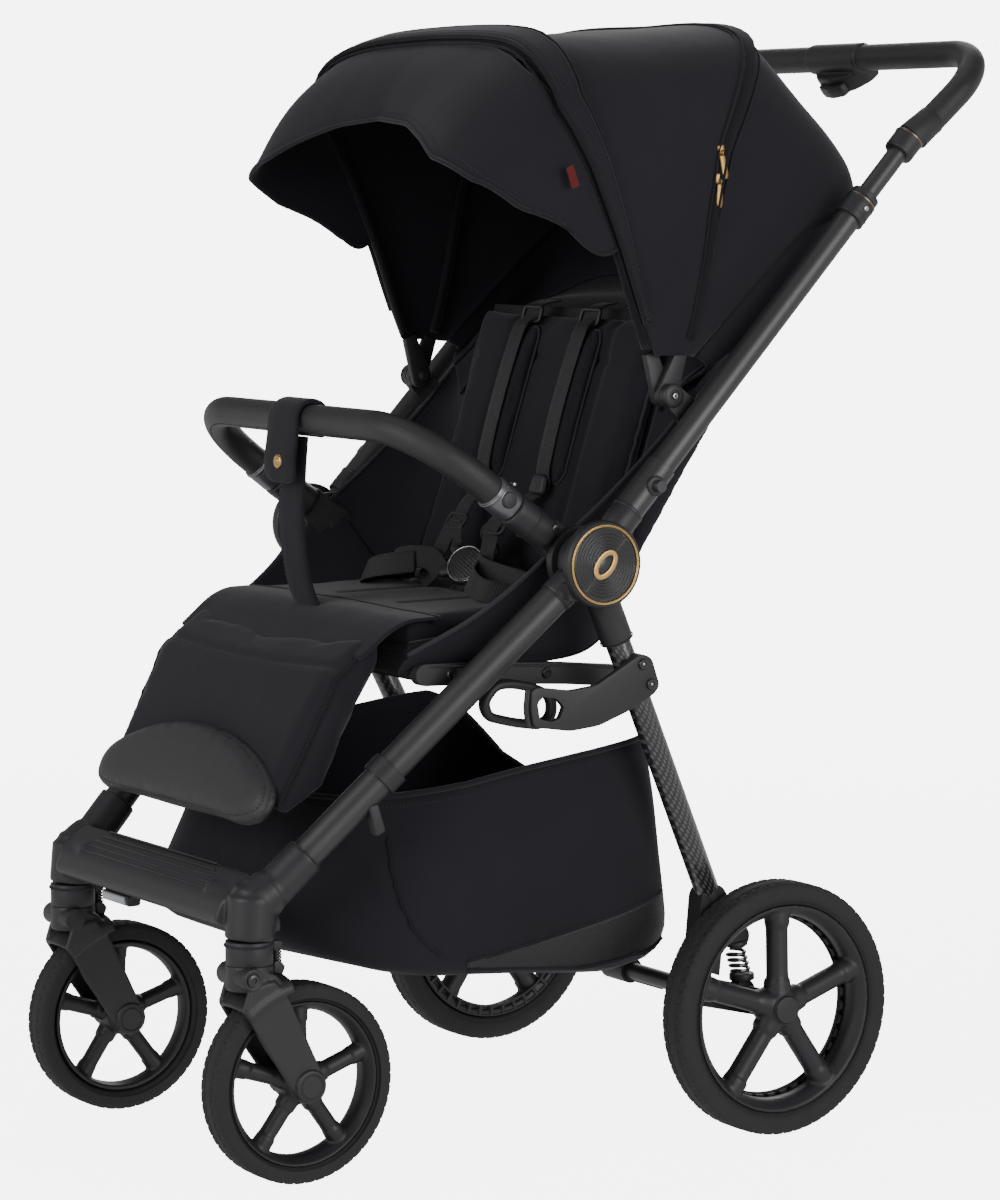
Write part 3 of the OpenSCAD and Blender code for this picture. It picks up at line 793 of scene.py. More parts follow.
MID = [(0, 69), (0.35, 70.5), (0.5, 73.5), (0.62, 75.2), (0.74, 74), (0.9, 70), (1, 66)]
FRONT = [(0, 108.5), (0.3, 110), (0.5, 113.5), (0.62, 111.5), (0.8, 110.5), (1, 112)]
mid_row = hoop(44, 256, 408, 248, MID)
front_row = hoop(44, 250, 388, 249, FRONT)

# the roof between the middle and the front bow, drawn nearly straight with a slight sag
k = np.linspace(0, 1, 15)[:, None, None]
roof = mid_row * (1 - k) + front_row * k
hinge_line = np.stack([roof[..., 0], np.full(roof.shape[:2], pt(0, *HINGE).y),
                       np.full(roof.shape[:2], HINGE[1] / 1000)], 2)
outward = roof - hinge_line
reach = np.linalg.norm(outward, axis=2, keepdims=True)
sag = np.sin(k * math.pi) * 0.004 * smooth_step((reach - 0.1) / 0.25)
roof = roof - outward / reach * sag
roof = ripple(roof, 3.2, 9, 2.0, np.sin(k[:, :, 0] * math.pi))
sheet_front = surface("canopy_roof", roof, 0.0028, sub=1)
place(sheet_front, ("canopy_mid", "canopy_front", (0, *polar(HINGE, 380, 72)), (0, *polar(HINGE, 380, 108))),
      "fabric", ["canopy_front_panel"])
sheet(sheet_front, roof)

# hem band over the front bow
def outer(row, d):
    """A bow's row moved d millimetres away from the hinge's axis and, at its sides, outwards."""
    away = (row - pts([0, *HINGE])[0]) * [0, 1, 1]
    away /= np.linalg.norm(away, axis=1)[:, None]
    aside = np.sign(row) * [1, 0, 0] * (np.abs(row[:, :1]) > 0.2)
    return row + (away + aside) * d / 1000


def turned(row, degrees):
    """A row of points turned about the canopy hinge."""
    c, s = polar((0, 0), 1, degrees)
    p = row - pts([0, *HINGE])[0]
    return np.stack([p[:, 0], p[:, 1] * c - p[:, 2] * s, p[:, 1] * s + p[:, 2] * c], 1) + pts([0, *HINGE])[0]


inset = slice(2, -2)
band_rows = [outer(turned(front_row, a), d)[inset] for a,
             d in ((-4.2, 0.4), (-4.1, 2.2), (-2, 2.8), (0.2, 2.6), (0.6, 0.8), (0.4, -3))]
band = lofted(band_rows, 11)
place(surface("canopy_hem", band, 0.0016), "canopy_front", "fabric")
piping("canopy_hem_rear_piping", outer(turned(front_row, -4.4), 1.2)[inset], "canopy_front", 1.5)
piping("canopy_hem_front_piping", outer(turned(front_row, 0.7), 0.5)[inset], "canopy_front", 2.2)
stitches("canopy_hem_stitches", outer(turned(front_row, -3.5), 3.1)[inset], "canopy_front")
stitches("canopy_hem_stitches_front", outer(turned(front_row, -0.6), 3.3)[inset], "canopy_front")

# visor
EDGE = [(0, 124.6), (0.2, 126.2), (0.38, 130.5), (0.5, 134), (0.68, 135.5), (0.86, 132.5), (1, 125)]
ROOT = [(0, 109.5), (0.3, 110.8), (0.5, 114), (0.7, 112.5), (0.85, 111.6), (1, 112)]
k = np.linspace(0, 1, 15)
visor = np.array([hoop(f, 250, 381, 243.5, ROOT) * (1 - t) + hoop(f, 252, 341, 239, EDGE) * t
                  for t, f in zip(k, 161 + 50 * k ** 4)])
away = (visor - pts([0, *HINGE])[0]) * [0, 1, 1]
reach = np.linalg.norm(away, axis=2, keepdims=True)
visor = visor + away / reach * np.sin(k * math.pi)[:, None, None] * 0.011 * smooth_step((reach - 0.17) / 0.1)
visor = ripple(visor, 1.8, 7, 5.0)
visor_sheet = surface("canopy_visor_sheet", visor, 0.0028, sub=1)
place(visor_sheet, "canopy_front", "fabric", ["canopy_visor"])
sheet(visor_sheet, visor)
piping("visor_edge_binding", visor[-1], "canopy_front", 2.4, "fabric")
piping("visor_side_binding_right", visor[:, 0], "canopy_front", 1.8, "fabric")
piping("visor_side_binding_left", visor[:, -1], "canopy_front", 1.8, "fabric")
stitches("visor_stitches", visor[-2], "canopy_front", on=visor_sheet)

# rear panel, with the soft bulge behind the child's head
REAR = [(0, 39), (0.3, 40), (0.46, 42), (0.62, 45), (1, 47)]
LAST = [(0, 32), (0.3, 33.5), (0.46, 37), (0.62, 42.5), (1, 45)]
rear_rows = [
    mid_row,
    hoop(46, 254, 393, 247, [(0, 63), (0.35, 64.5), (0.62, 67.5), (0.9, 62), (1, 61)]),
    hoop(48, 250, 377, 245, [(0, 55), (0.35, 56), (0.62, 59), (0.9, 55), (1, 54)]),
    hoop(50, 248, 374, 243, [(0, 46), (0.35, 47.5), (0.62, 51), (1, 50)]),
    hoop(52, 246, 371, 241, REAR),
    hoop(54, 244, 357, 238, LAST),
]
rear = ripple(lofted(rear_rows, 19), 3.0, 8, 9.0, smooth_step(np.linspace(0, 2, 19))[:, None])
rear_sheet = surface("canopy_rear_sheet", rear, 0.0028, sub=1)
place(rear_sheet, ("upper_frame", "canopy_mid", (0, *polar(HINGE, 380, 44)), (0, *polar(HINGE, 380, 68))),
      "fabric", ["canopy_rear_panel"])
sheet(rear_sheet, rear)
stitches("canopy_rear_stitches", rear[-2][6:-6], "upper_frame", on=rear_sheet)

piping("canopy_rear_piping", rear[-1][3:-3], "upper_frame", 1.8, "fabric")

# zip line over the middle bow: two flaps, the coil between them and two pulls
for name, angle, r, on in (("front", 1.1, 1.5, sheet_front), ("rear", -1.2, 1.5, rear_sheet),
                           ("cover", -2.8, 1.2, rear_sheet)):
    piping("zip_flap_" + name, turned(mid_row, angle)[1:-1], "canopy_mid", r, on=on, lift=0.6)
zip_line = snapped(rear_sheet, turned(mid_row, -0.1)[1:-1], 0.8)
place(sweep("zip_tape", zip_line, strap_section(0.013, 0.0012)), "canopy_mid", "binding")
stitches("zip_teeth", zip_line[1:-1], "canopy_mid", pitch=2.6, length=1.5, r=0.75, look="plastic",
         on=rear_sheet)
stitches("zip_stitches", turned(mid_row, 2.0)[2:-2], "canopy_mid", on=sheet_front)


def zip_pull(name, y, z, lean):
    """A slider with its ring and tag, hanging on the canopy's near side."""
    plate = rounded([(-3.2, 0), (-3.8, 21), (-2.4, 26), (2.4, 26), (3.8, 21), (3.2, 0)], 2.4, 4)
    tag = dome(name + "_tag", plate, 2.0, 0.3, 0.25)
    slide = dome(name + "_slider",
                 rounded([(-4.5, 0), (-4.5, 9), (-2.5, 12), (2.5, 12), (4.5, 9), (4.5, 0)], 2, 4), 3.4, 0.6,
                 0.3)
    c, s = polar((0, 0), 1, lean)
    oriented(tag, pt(251.5, y, z), (0, c, s), (0, s, -c))
    oriented(slide, pt(249.5, y - 2 * s, z - 2 + 12 * c), (0, c, s), (0, s, -c))
    whole = joined(name, [tag, slide])
    whole.data.shade_smooth()
    place(whole, "canopy_mid", "old_gold")
    ring_path = pts([(251.5 + 1.6 * math.cos(a), y + (2.5 * math.sin(a)) * s, z + 1.5 + 2.5 * math.sin(a) * c)
                     for a in np.linspace(0, 2 * math.pi, 13)[:-1]])
    place(sweep(name + "_ring", ring_path, circle_section(0.0006, 6), closed=True), "canopy_mid", "old_gold")


zip_pull("zip_pull_upper", 208, 1016, 12)
zip_pull("zip_pull_lower", 206, 987, -2)

# sleeves of fabric round the bows, seen from inside, and the joints at the hinge
for name, row, body, node in (("middle", mid_row, "canopy_mid", "canopy_mid_bow"),
                              ("front", front_row, "canopy_front", "canopy_front_bow")):
    inner = outer(row, -9)[1:-1]
    sleeve = sweep("canopy_bow_" + name, inner, strap_section(0.017, 0.008, 6))
    place(sleeve, body, "lining", [node])
    piping("canopy_bow_seam_" + name, outer(turned(row, 1.7), -5)[1:-1], body, 1.2, "lining")


def canopy_joint(x0, x1, angle, r, name, body):
    """The moulded ear at the foot of a bow."""
    tip = polar(HINGE, 46, angle)
    d = math.radians(angle)
    w = 7.5
    outline = [polar(HINGE, r, angle + 180 + a) for a in range(-80, 81, 16)]
    outline += [(tip[0] + w * k * math.sin(d), tip[1] - w * k * math.cos(d)) for k in (1, -1)]
    pair(prism(name, outline, x0, x1, 1.2), body, "plastic")


canopy_joint(231, 238.5, 109, 12.5, "canopy_ear_front", "canopy_front")
canopy_joint(239.2, 246.5, 68, 12.5, "canopy_ear_middle", "canopy_mid")
cap = revolve("canopy_hinge_cap",
              [(0.01, 3.2), (3, 3.2), (3.6, 1.6), (5.5, 1.6), (6, 3.0), (10.5, 2.6), (12.4, 1.2), (12.6, 0),
               (12.6, -0.6), (0.01, -0.6)],
              (256.4, *HINGE), 48)
pair(cap, "upper_frame", "plastic", auto=50)
screw = revolve("canopy_hinge_screw", [(0.01, 1.2), (1.4, 1.2), (1.5, 2.6), (2.8, 2.4), (3.1, 1.8), (3.1, 0)],
                (258.0, *HINGE), 24)
pair(screw, "upper_frame", "steel", auto=50)

# plain red side tab at the hem
tab = dome("hem_tab", rounded([(-4.5, -11), (4.5, -11), (4.5, 11), (-4.5, 11)], 1.5, 3), 1.2, 0.2, 0.15)
oriented(tab, pt(252.3, 24, 993), (0, 1, 0.36), (0, -0.36, 1))
place(tab, "canopy_front", "red")

# small flap at the top rear
flap = np.array([[(-60 + 20 * i, 300 + 13 * j, 1151 - 14 * j - (0.4 * j) ** 2) for i in range(7)]
                 for j in range(5)], float)
flap_hit = np.array([[np.array(rear_sheet.closest_point_on_mesh(Vector(p))[1]) for p in pts(row)]
                     for row in flap])
flap_out = flap_hit + np.array([0, 0.6, 0.8]) * (0.003 + 0.0016 * np.arange(5))[:, None, None]
place(surface("canopy_top_flap", flap_out, 0.0024, sub=1), "canopy_mid", "fabric")


# ------------------------------------------------------------------ seat, calf rest, backrest
def cushion(name, outline, x0, x1, cap, where, look, replaces=(), voxel=5.5, bevel=6.0, seams=()):
    """A sewn pad: a rounded solid, swollen, then drawn in along its seams."""
    o = prism(name, rounded(outline, 5, 4), x0, x1, bevel)
    puffed(o, cap, voxel)
    for path, depth, width in seams:
        seam(o, snapped(o, path), depth, width)
    place(o, where, look, replaces)
    return o


def across(points, half, n=60):
    """A path across the stroller, bowed by the side-view points of its middle and its ends."""
    (ym, zm), (ye, ze) = points
    t = np.linspace(-1, 1, n)
    return pts(np.stack([t * half, ym + (ye - ym) * t * t, zm + (ze - zm) * t * t], 1))


cushion("seat_base_cover",
        [(-132, 513), (-134, 526), (-60, 530), (96, 542), (102, 530), (90, 512), (-60, 509)], -203, 203, 3,
        "chassis", "fabric", bevel=5,
        seams=[(pts([(204 * s, y, 522 + 0.05 * y) for y in range(-120, 96, 4)]), 1.5, 4) for s in (-1, 1)])
SEAT_TO_CALF = ("chassis", "calf_rest", (0, -140, 545), (0, -178, 520))
front_seam = across([(-112, 556), (-96, 556)], 186)
seat = cushion("seat_cushion",
               [(-134, 543), (-128, 548), (-60, 548), (86, 549), (82, 520), (-60, 516), (-124, 516),
                                (-131, 526)], -189, 189, 8, "chassis", "fabric", ["seat_pad"],
               seams=[(front_seam, 3.0, 6), (pts([(-62, y, 558) for y in range(-60, 84, 4)]), 2.5, 6),
                      (pts([(62, y, 558) for y in range(-60, 84, 4)]), 2.5, 6)])
stitches("seat_front_stitches", front_seam + [0, 0.006, 0], "chassis", on=seat)

calf_side = [(-152, 541), (-170, 528), (-209, 500), (-244, 440), (-277, 374), (-270, 364), (-226, 392),
             (-200, 436),
             (-158, 512)]
calf = cushion("calf_cushion", calf_side, -187, 187, 7, "calf_rest", "fabric", ["calf_rest"],
               seams=[(across([(-214, 508), (-206, 515)], 184), 2.5, 6)])
for s, side in SIDES:
    edge = curve(pts([(186 * s, -172, 530), (189 * s, -211, 502), (189 * s, -247, 440),
                      (186 * s, -279, 378)]), 60)
    piping("calf_piping_" + side, edge, "calf_rest", 1.8, "binding", on=calf, lift=0.6)
    stitches("calf_stitches_" + side, edge + [-0.008 * s, 0, 0], "calf_rest", on=calf)
piping("calf_piping_low", across([(-281, 370), (-279, 374)], 180), "calf_rest", 1.8, "binding", on=calf,
       lift=0.6)
stitches("calf_front_stitches", across([(-218, 508), (-210, 515)], 178) + [0, -0.002, 0], "calf_rest",
         on=calf)

# fabric that runs over the seat's front edge on to the calf rest
front_rows = [across([(y, z), (y + 3, z - 2)], 190, 49) for y, z in
              ((-92, 557), (-112, 558), (-132, 555), (-152, 547), (-170, 534), (-188, 520))]
front_rows[1][:, 2] -= 0.0015
seat_front = ripple(lofted(front_rows, 17), 1.6, 14, 7.0)
front_cover = place(surface("seat_front_cover", seat_front, 0.003, sub=1), SEAT_TO_CALF, "fabric")
sheet(front_cover, seat_front)
piping("seat_front_seam", seat_front[1], "chassis", 1.1, "binding")

# the foot pad: a stitched half-moon of leatherette
half_moon = [(0, 78), (60, 74), (112, 62), (150, 47), (175, 31), (184, 13), (178, -5), (150, -16), (0, -18)]
half_moon = rounded(half_moon + [(-x, y) for x, y in half_moon[-2:0:-1]], 14, 5)[::-1]
foot = dome("foot_rest_pad", half_moon, 21, 4, 0.12)
UP_CALF = (0, 0.469, 0.883)
oriented(foot, pt(0, -279, 364), (1, 0, 0), UP_CALF)
puffed(foot, 3, 4.0)
place(foot, "calf_rest", "pad_leather", ["foot_pad"])
ring = [(x * 0.955, y * 0.88 + 3) for x, y in half_moon]
ring_path = np.array([pt(x, -279 + 0.469 * y - 0.883 * 20, 364 + 0.883 * y + 0.469 * 20) for x, y in ring])
seam(foot, snapped(foot, ring_path), 1.2, 3)
stitches("foot_pad_stitches", np.vstack([ring_path, ring_path[:1]]), "calf_rest", on=foot, pitch=4.6)

# backrest
back_outline = [back_point(0, y, z)[1:] for y, z in ((12, -3), (12, 15), (150, 16), (308, 15), (308, -3))]
grooves = [(pts([back_point(x, y, 22) for y in range(14, 306, 4)]), 4.0, 7) for x in (-95, 95)]
grooves.append((pts([back_point(x, 250, 22) for x in range(-180, 181, 6)]), 3.0, 6))
backrest = cushion("backrest_padding", back_outline, -181, 181, 8, "backrest", "fabric", ["backrest_cushion"],
                   seams=grooves)
for s, side in SIDES:
    piping("backrest_piping_" + side, pts([back_point(182 * s, y, 10) for y in range(12, 308, 6)]),
           "backrest", 2.0,
           "piping", on=backrest, lift=0.8)
pad_shape = rounded([(-25, -86), (25, -86), (27, 0), (25, 86), (-25, 86), (-27, 0)], 14, 5)
pad = dome("shoulder_pad", pad_shape, 13, 2, 0.16)
oriented(pad, pts(back_point(59, 198, 20))[0], (1, 0, 0), UP_BACK)
puffed(pad, 3, 4.0)
pad_edge = pts([back_point(59 + x * 0.99, 198 + y * 0.99, 24) for x, y in pad_shape])
pad_inset = pts([back_point(59 + x * 0.8, 198 + y * 0.92, 36) for x, y in pad_shape])
seam(pad, snapped(pad, pad_inset), 1.5, 3.5)
for piece in pair(pad, "backrest", "fabric", ["shoulder_pads"]):
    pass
for s, side in SIDES:
    on = bpy.data.objects["shoulder_pad_" + side]
    piping("shoulder_pad_piping_" + side, pad_edge * [s, 1, 1], "backrest", 1.8, "piping", closed=True, on=on,
           lift=0.4)
    stitches("shoulder_pad_stitches_" + side, pad_inset * [s, 1, 1], "backrest", on=on)

# padded bag behind the backrest
bag_outline = [(131, 574), (124, 548), (146, 588), (219, 695), (276, 777), (295, 836), (224, 853), (206, 840)]
bag = cushion("back_bag", bag_outline, -193, 193, 6, "backrest", "fabric", ["back_cover"], voxel=6.5,
              bevel=10,
              seams=[(pts([(s, y, z) for y, z in curve([(150, 594), (219, 693), (272, 775)], 40)]), 3, 8)
                     for s in (-110, 110)])
for s, side in SIDES:
    piping("back_bag_piping_" + side, curve(pts([(190 * s, y, z) for y, z in bag_outline[1:6]]), 80),
           "backrest", 2.0,
           "binding", on=bag, lift=0.6)

# side wings between the seat and the frame
WING_OUT = {1: [(206, -140, 520), (222, -72, 556), (236, -14, 600), (240, 33, 640)],
            2: [(240, 33, 640), (241, 80, 676), (240, 147, 734), (238, 192, 782), (236, 232, 826)]}
WING_IN = {1: [(182, -128, 528), (181, -60, 532), (181, 20, 534), (180, 92, 540)],
           2: [(180, 92, 540), (182, 130, 630), (184, 158, 710), (184, 186, 792), (184, 204, 848)]}
for part in (1, 2):
    outer_edge, inner_edge = curve(pts(WING_OUT[part]), 41), curve(pts(WING_IN[part]), 41)
    k = np.linspace(0, 1, 11)[:, None, None]
    wing = outer_edge[None] * (1 - k) + inner_edge[None] * k
    wing = wing + np.sin(k * math.pi) * [0.008, 0.004, -0.010]
    wing = ripple(wing, 2.5, 13, 3.0 + part, np.sin(k[:, :, 0] * math.pi) * np.ones((1, 41)))
    for s, side in SIDES:
        g = wing * [s, 1, 1]
        where = "chassis" if part == 1 else ("upper_frame", "backrest", (225 * s, 120, 680),
                                             (190 * s, 120, 680))
        o = place(surface(f"wing_{part}_{side}", g, 0.003, sub=1), where, "fabric")
        sheet(o, g)
        rides = "chassis" if part == 1 else "upper_frame"
        piping(f"wing_piping_{part}_{side}", g[0], rides, 2.2, "piping")
        stitches(f"wing_stitches_{part}_{side}", g[1], rides, on=o)

# the cloth that closes the space between the canopy's rear edge and the backrest
back_line = curve(pts([(-238, 190, 792), (-241, 262, 834), (-234, 306, 856), (-190, 320, 866), (0, 326, 872),
                       (190, 320, 866),
                       (234, 306, 856), (241, 262, 834), (238, 190, 792)]), 65)
inner_line = curve(pts([(-190, 168, 752), (-188, 204, 800), (-184, 226, 834), (-150, 236, 840), (0, 238, 841),
                        (150, 236, 840),
                        (184, 226, 834), (188, 204, 800), (190, 168, 752)]), 65)
closing = lofted([rear[-1], mix(rear[-1], back_line, 0.5) + [0, 0.012, 0], back_line,
                  mix(back_line, inner_line, 0.5) + [0, 0, 0.004],
                  inner_line], 25)
closing = ripple(closing, 4.0, 10, 6.0, np.sin(np.linspace(0, math.pi, 25))[:, None])
for s, side, half in ((1, "left", slice(32, 65)), (-1, "right", slice(0, 33))):
    stretch = ("upper_frame", "backrest", (0, 300, 822), (-1.84 * s, 295.4, 824.3))
    g = closing[:, half]
    back_panel = place(surface("canopy_back_panel_" + side, g, 0.0026, sub=1), stretch, "fabric")
    sheet(back_panel, g)
    piping("canopy_back_piping_" + side, g[12], "upper_frame", 1.8, "binding", on=back_panel, lift=0.6)

# side panels of the seat's cloth, from the wings' edges down to the seat base
top_line = curve(pts(WING_OUT[1] + [(239, 52, 632), (236, 78, 592)]), 41)
low_line = curve(pts([(200, -147, 502), (203, -93, 508), (203, -14, 506), (203, 32, 505), (204, 72, 512),
                      (203, 103, 531)]), 41)
side_panel = lofted([top_line, mix(top_line, low_line, 0.5) + [0.005, 0, 0.002], low_line], 13)
side_panel = ripple(side_panel, 2.0, 11, 8.0, np.sin(np.linspace(0, math.pi, 13))[:, None])
for s, side in SIDES:
    g = side_panel * [s, 1, 1]
    panel = place(surface("seat_side_panel_" + side, g, 0.0026, sub=1), "chassis", "fabric")
    sheet(panel, g)
    piping("seat_side_piping_" + side, g[-1], "chassis", 1.6, "binding")
    stitches("seat_side_stitches_" + side, g[1], "chassis", on=panel)

# the crease between the seat and the backrest
crease = ripple(lofted([across([(y, z), (y, z)], 187, 33) for y, z in
                        ((74, 547), (96, 551), (112, 553), (126, 557), (137, 568))], 13), 1.2, 9, 2.0)
crease_cloth = place(surface("seat_crease", crease, 0.003, sub=1), "chassis", "fabric")
sheet(crease_cloth, crease)
apron = lofted([across([(y, z), (y, z)], 190, 33) for y, z in ((-128, 522), (-133, 511), (-131, 498))], 7)
apron_cloth = place(surface("seat_apron", apron, 0.003, sub=1), "chassis", "fabric")
sheet(apron_cloth, apron)


# ------------------------------------------------------------------ basket
def plan_loop(front, rear, half_front, half_rear, height, n=96, rear_height=None):
    """A rounded rectangle seen from above; tables of (y, z) and, at the rear, (x, z) give its height."""
    a = np.arange(n) * 2 * math.pi / n
    power = np.where(np.sin(a) > 0, 0.30, 0.48)
    y = mix(front, rear, (np.sign(np.sin(a)) * np.abs(np.sin(a)) ** power + 1) / 2)
    half = np.interp(y, (front, front + 110), (half_front, half_rear))
    x = half * np.sign(np.cos(a)) * np.abs(np.cos(a)) ** power
    table = np.array(height, float)
    z = np.interp(y, table[:, 0], table[:, 1])
    if rear_height:
        across_rear = np.array(rear_height, float)
        z = np.where(y > rear - 30, np.minimum(z, np.interp(np.abs(x), across_rear[:, 0], across_rear[:, 1])),
                     z)
    return pts(np.stack([x, y, z], 1))


rim = plan_loop(-192, 166, 194, 224,
                [(-192, 369), (-173, 373), (-100, 385), (-36, 396), (60, 408), (135, 418), (168, 424)],
                rear_height=[(0, 338), (50, 343), (87, 355), (135, 380), (176, 402), (214, 420), (222, 424)])
belly = plan_loop(-260, 194, 190, 226, [(-260, 250), (-100, 238), (194, 252)])
basket_rings = [
    rim, mix(rim, belly, 0.33) * [1.01, 1, 1], mix(rim, belly, 0.67) * [1.008, 1, 1], belly,
    plan_loop(-248, 197, 186, 222, [(-248, 226), (-180, 207), (-60, 198), (60, 192), (197, 212)]),
    plan_loop(-222, 178, 172, 208, [(-222, 213), (-129, 195), (-52, 190), (31, 180), (95, 177), (178, 184)]),
    plan_loop(-150, 120, 120, 150, [(-150, 198), (-40, 184), (120, 174)]),
    plan_loop(-80, 60, 60, 75, [(-80, 190), (60, 175)]),
]
basket = lofted(basket_rings, 33)
fold = np.sin(np.linspace(0, math.pi, 33))[:, None]
basket = ripple(basket, 3.0, 9, 1.0, -fold)
tub = surface("basket_tub", basket, 0.003, close=True)
for s, side in SIDES:
    line = curve(pts([(230 * s, -186, 352), (232 * s, -176, 310), (232 * s, -156, 262), (226 * s, -126, 226),
                      (214 * s, -74, 198)]), 60)
    line = snapped(tub, line)
    seam(tub, line, 1.6, 5)
    piping("basket_seam_" + side, line, "chassis", 1.0, "binding")
place(tub, "chassis", "fabric", ["basket"])
sheet(tub, np.concatenate([basket, basket[:, :1]], 1))
floor = new_object("basket_floor", np.vstack([basket[-1], basket[-1] + [0, 0, 0.003]]),
                  [tuple(range(96)), tuple(range(96, 192))]
                  + [(k, (k + 1) % 96, 96 + (k + 1) % 96, 96 + k) for k in range(96)])
place(floor, "chassis", "fabric", auto=40)
piping("basket_rim", basket[0], "chassis", 3.0, "fabric", closed=True)
for s, side in SIDES:
    stitches("basket_rim_stitches_" + side, basket[1][np.r_[72:96, 0:25] if s > 0 else np.r_[25:72]],
             "chassis", on=tub)

net = Look("mesh_window", 0.5, Specular_IOR_Level=0.5)
along, up = net.dot((0, 1, 0)), net.dot((0, 0, 1))
one = net.math("PINGPONG", net.math("MULTIPLY", net.math("ADD", along, up), 430), 1.0)
two = net.math("PINGPONG", net.math("MULTIPLY", net.math("SUBTRACT", along, up), 430), 1.0)
weave = net.math("MAXIMUM", one, two)
LOOKS["mesh_window"] = net.finish(
    net.ramp(net.math("ADD", net.math("MULTIPLY", weave, 0.8), net.math("MULTIPLY", net.noise(30), 0.2)),
             (0.5, (0.002, 0.002, 0.0026)), (0.9, (0.016, 0.016, 0.018))),
    net.bump(weave, 0.0004, strength=0.5))
for s, side in SIDES:
    top = curve(pts([(240 * s, -84, 203), (240 * s, 50, 228), (236 * s, 193, 257)]), 60)
    low = curve(pts([(226 * s, -80, 196), (226 * s, 50, 184), (224 * s, 186, 192)]), 60)
    patch = np.array([snapped(tub, mix(top, low, t), 0.9) for t in np.linspace(0, 1, 14)])
    place(surface("basket_window_" + side, patch, 0.0006), "chassis", "mesh_window")
    piping("basket_window_top_" + side, patch[0], "chassis", 1.5, "fabric", on=tub, lift=1.0)
    piping("basket_window_low_" + side, patch[-1], "chassis", 2.2, "fabric", on=tub, lift=0.8)
    clip = prism("basket_clip_" + side, rounded([(-201, 376), (-190, 379), (-181, 350), (-192, 345)], 3, 4),
                 219 if s > 0 else -231, 231 if s > 0 else -219, 2.0)
    place(clip, "chassis", "plastic")

# ------------------------------------------------------------------ bumper bar and its strap
strap_line = curve(pts([(0, -128, 540), (0, -140, 560), (0, -149, 590), (0, -155, 640), (0, -153, 690),
                        (0, -150, 728)]), 60)
strap_line = even(strap_line, 61)
place(sweep("bumper_strap_belt", strap_line, strap_section(0.048, 0.0055, 5), side=(1, 0, 0)),
      ("chassis", "bumper", (0, -136, 545), (0, -152, 700)), "fabric", ["bumper_strap"])
for x in (-0.0205, 0.0205):
    stitches(f"belt_stitches_{'left' if x > 0 else 'right'}", strap_line[2:] + [x, -0.0030, 0],
             ("chassis", "bumper", (0, -136, 545), (0, -152, 700)))
wrap = [(0, *polar(BAR, 19.5, a)) for a in range(-60, 181, 15)]
flap_line = even(curve(pts(wrap
                           + [(0, BAR[0] - 21, BAR[1] - 20), (0, BAR[0] - 24, BAR[1] - 42),
                              (0, BAR[0] - 23, BAR[1] - 65)]), 90), 91)
share = np.linspace(0, 1, 91)
half_width = 0.031 - 0.004 * np.exp(-((share - 0.3) / 0.2) ** 2)
end = np.clip((share - 0.90) / 0.10, 0, 1)
half_width = half_width * np.sqrt(np.clip(1 - (end * 0.92) ** 3, 0.05, 1))
section = strap_section(2.0, 0.18, 5)
rings = []
_, side_dir, normal = frames_along(flap_line, (1, 0, 0))
for p, a, nrm, w in zip(flap_line, side_dir, normal, half_width):
    rings.append(p + a * (section[:, :1] * w) + nrm * (section[:, 1:] * 0.026))
rings = np.array(rings)
m = len(section)
flap_belt = new_object("bumper_flap", rings.reshape(-1, 3),
                       grid_faces(91, m, close_columns=True)
                       + [tuple(range(m)), tuple(range(90 * m, 91 * m))])
place(flap_belt, "bumper", "fabric")
border, far_border = (np.array([p + a * w * k + nrm * -0.0028 for p, a, nrm, w in
                                zip(flap_line, side_dir, normal, half_width)]) for k in (0.86, -0.86))
loop = np.vstack([border[18:-3], far_border[18:-3][::-1]])
stitches("flap_stitches", loop, "bumper", on=flap_belt)
snap = revolve("flap_snap",
               [(0.01, 2.6), (2.2, 2.7), (3.0, 1.9), (4.6, 2.3), (6.2, 2.0), (7.4, 0.9), (7.6, 0), (0.01, 0)],
               (0, 0, 0), 40)
set_coords(snap, coords(snap) - [0, Y0, 0])
oriented(snap, pt(0, BAR[0] - 26.2, BAR[1] - 43), (0, -1, 0.06), (1, 0, 0))
place(snap, "bumper", "gold", auto=40)

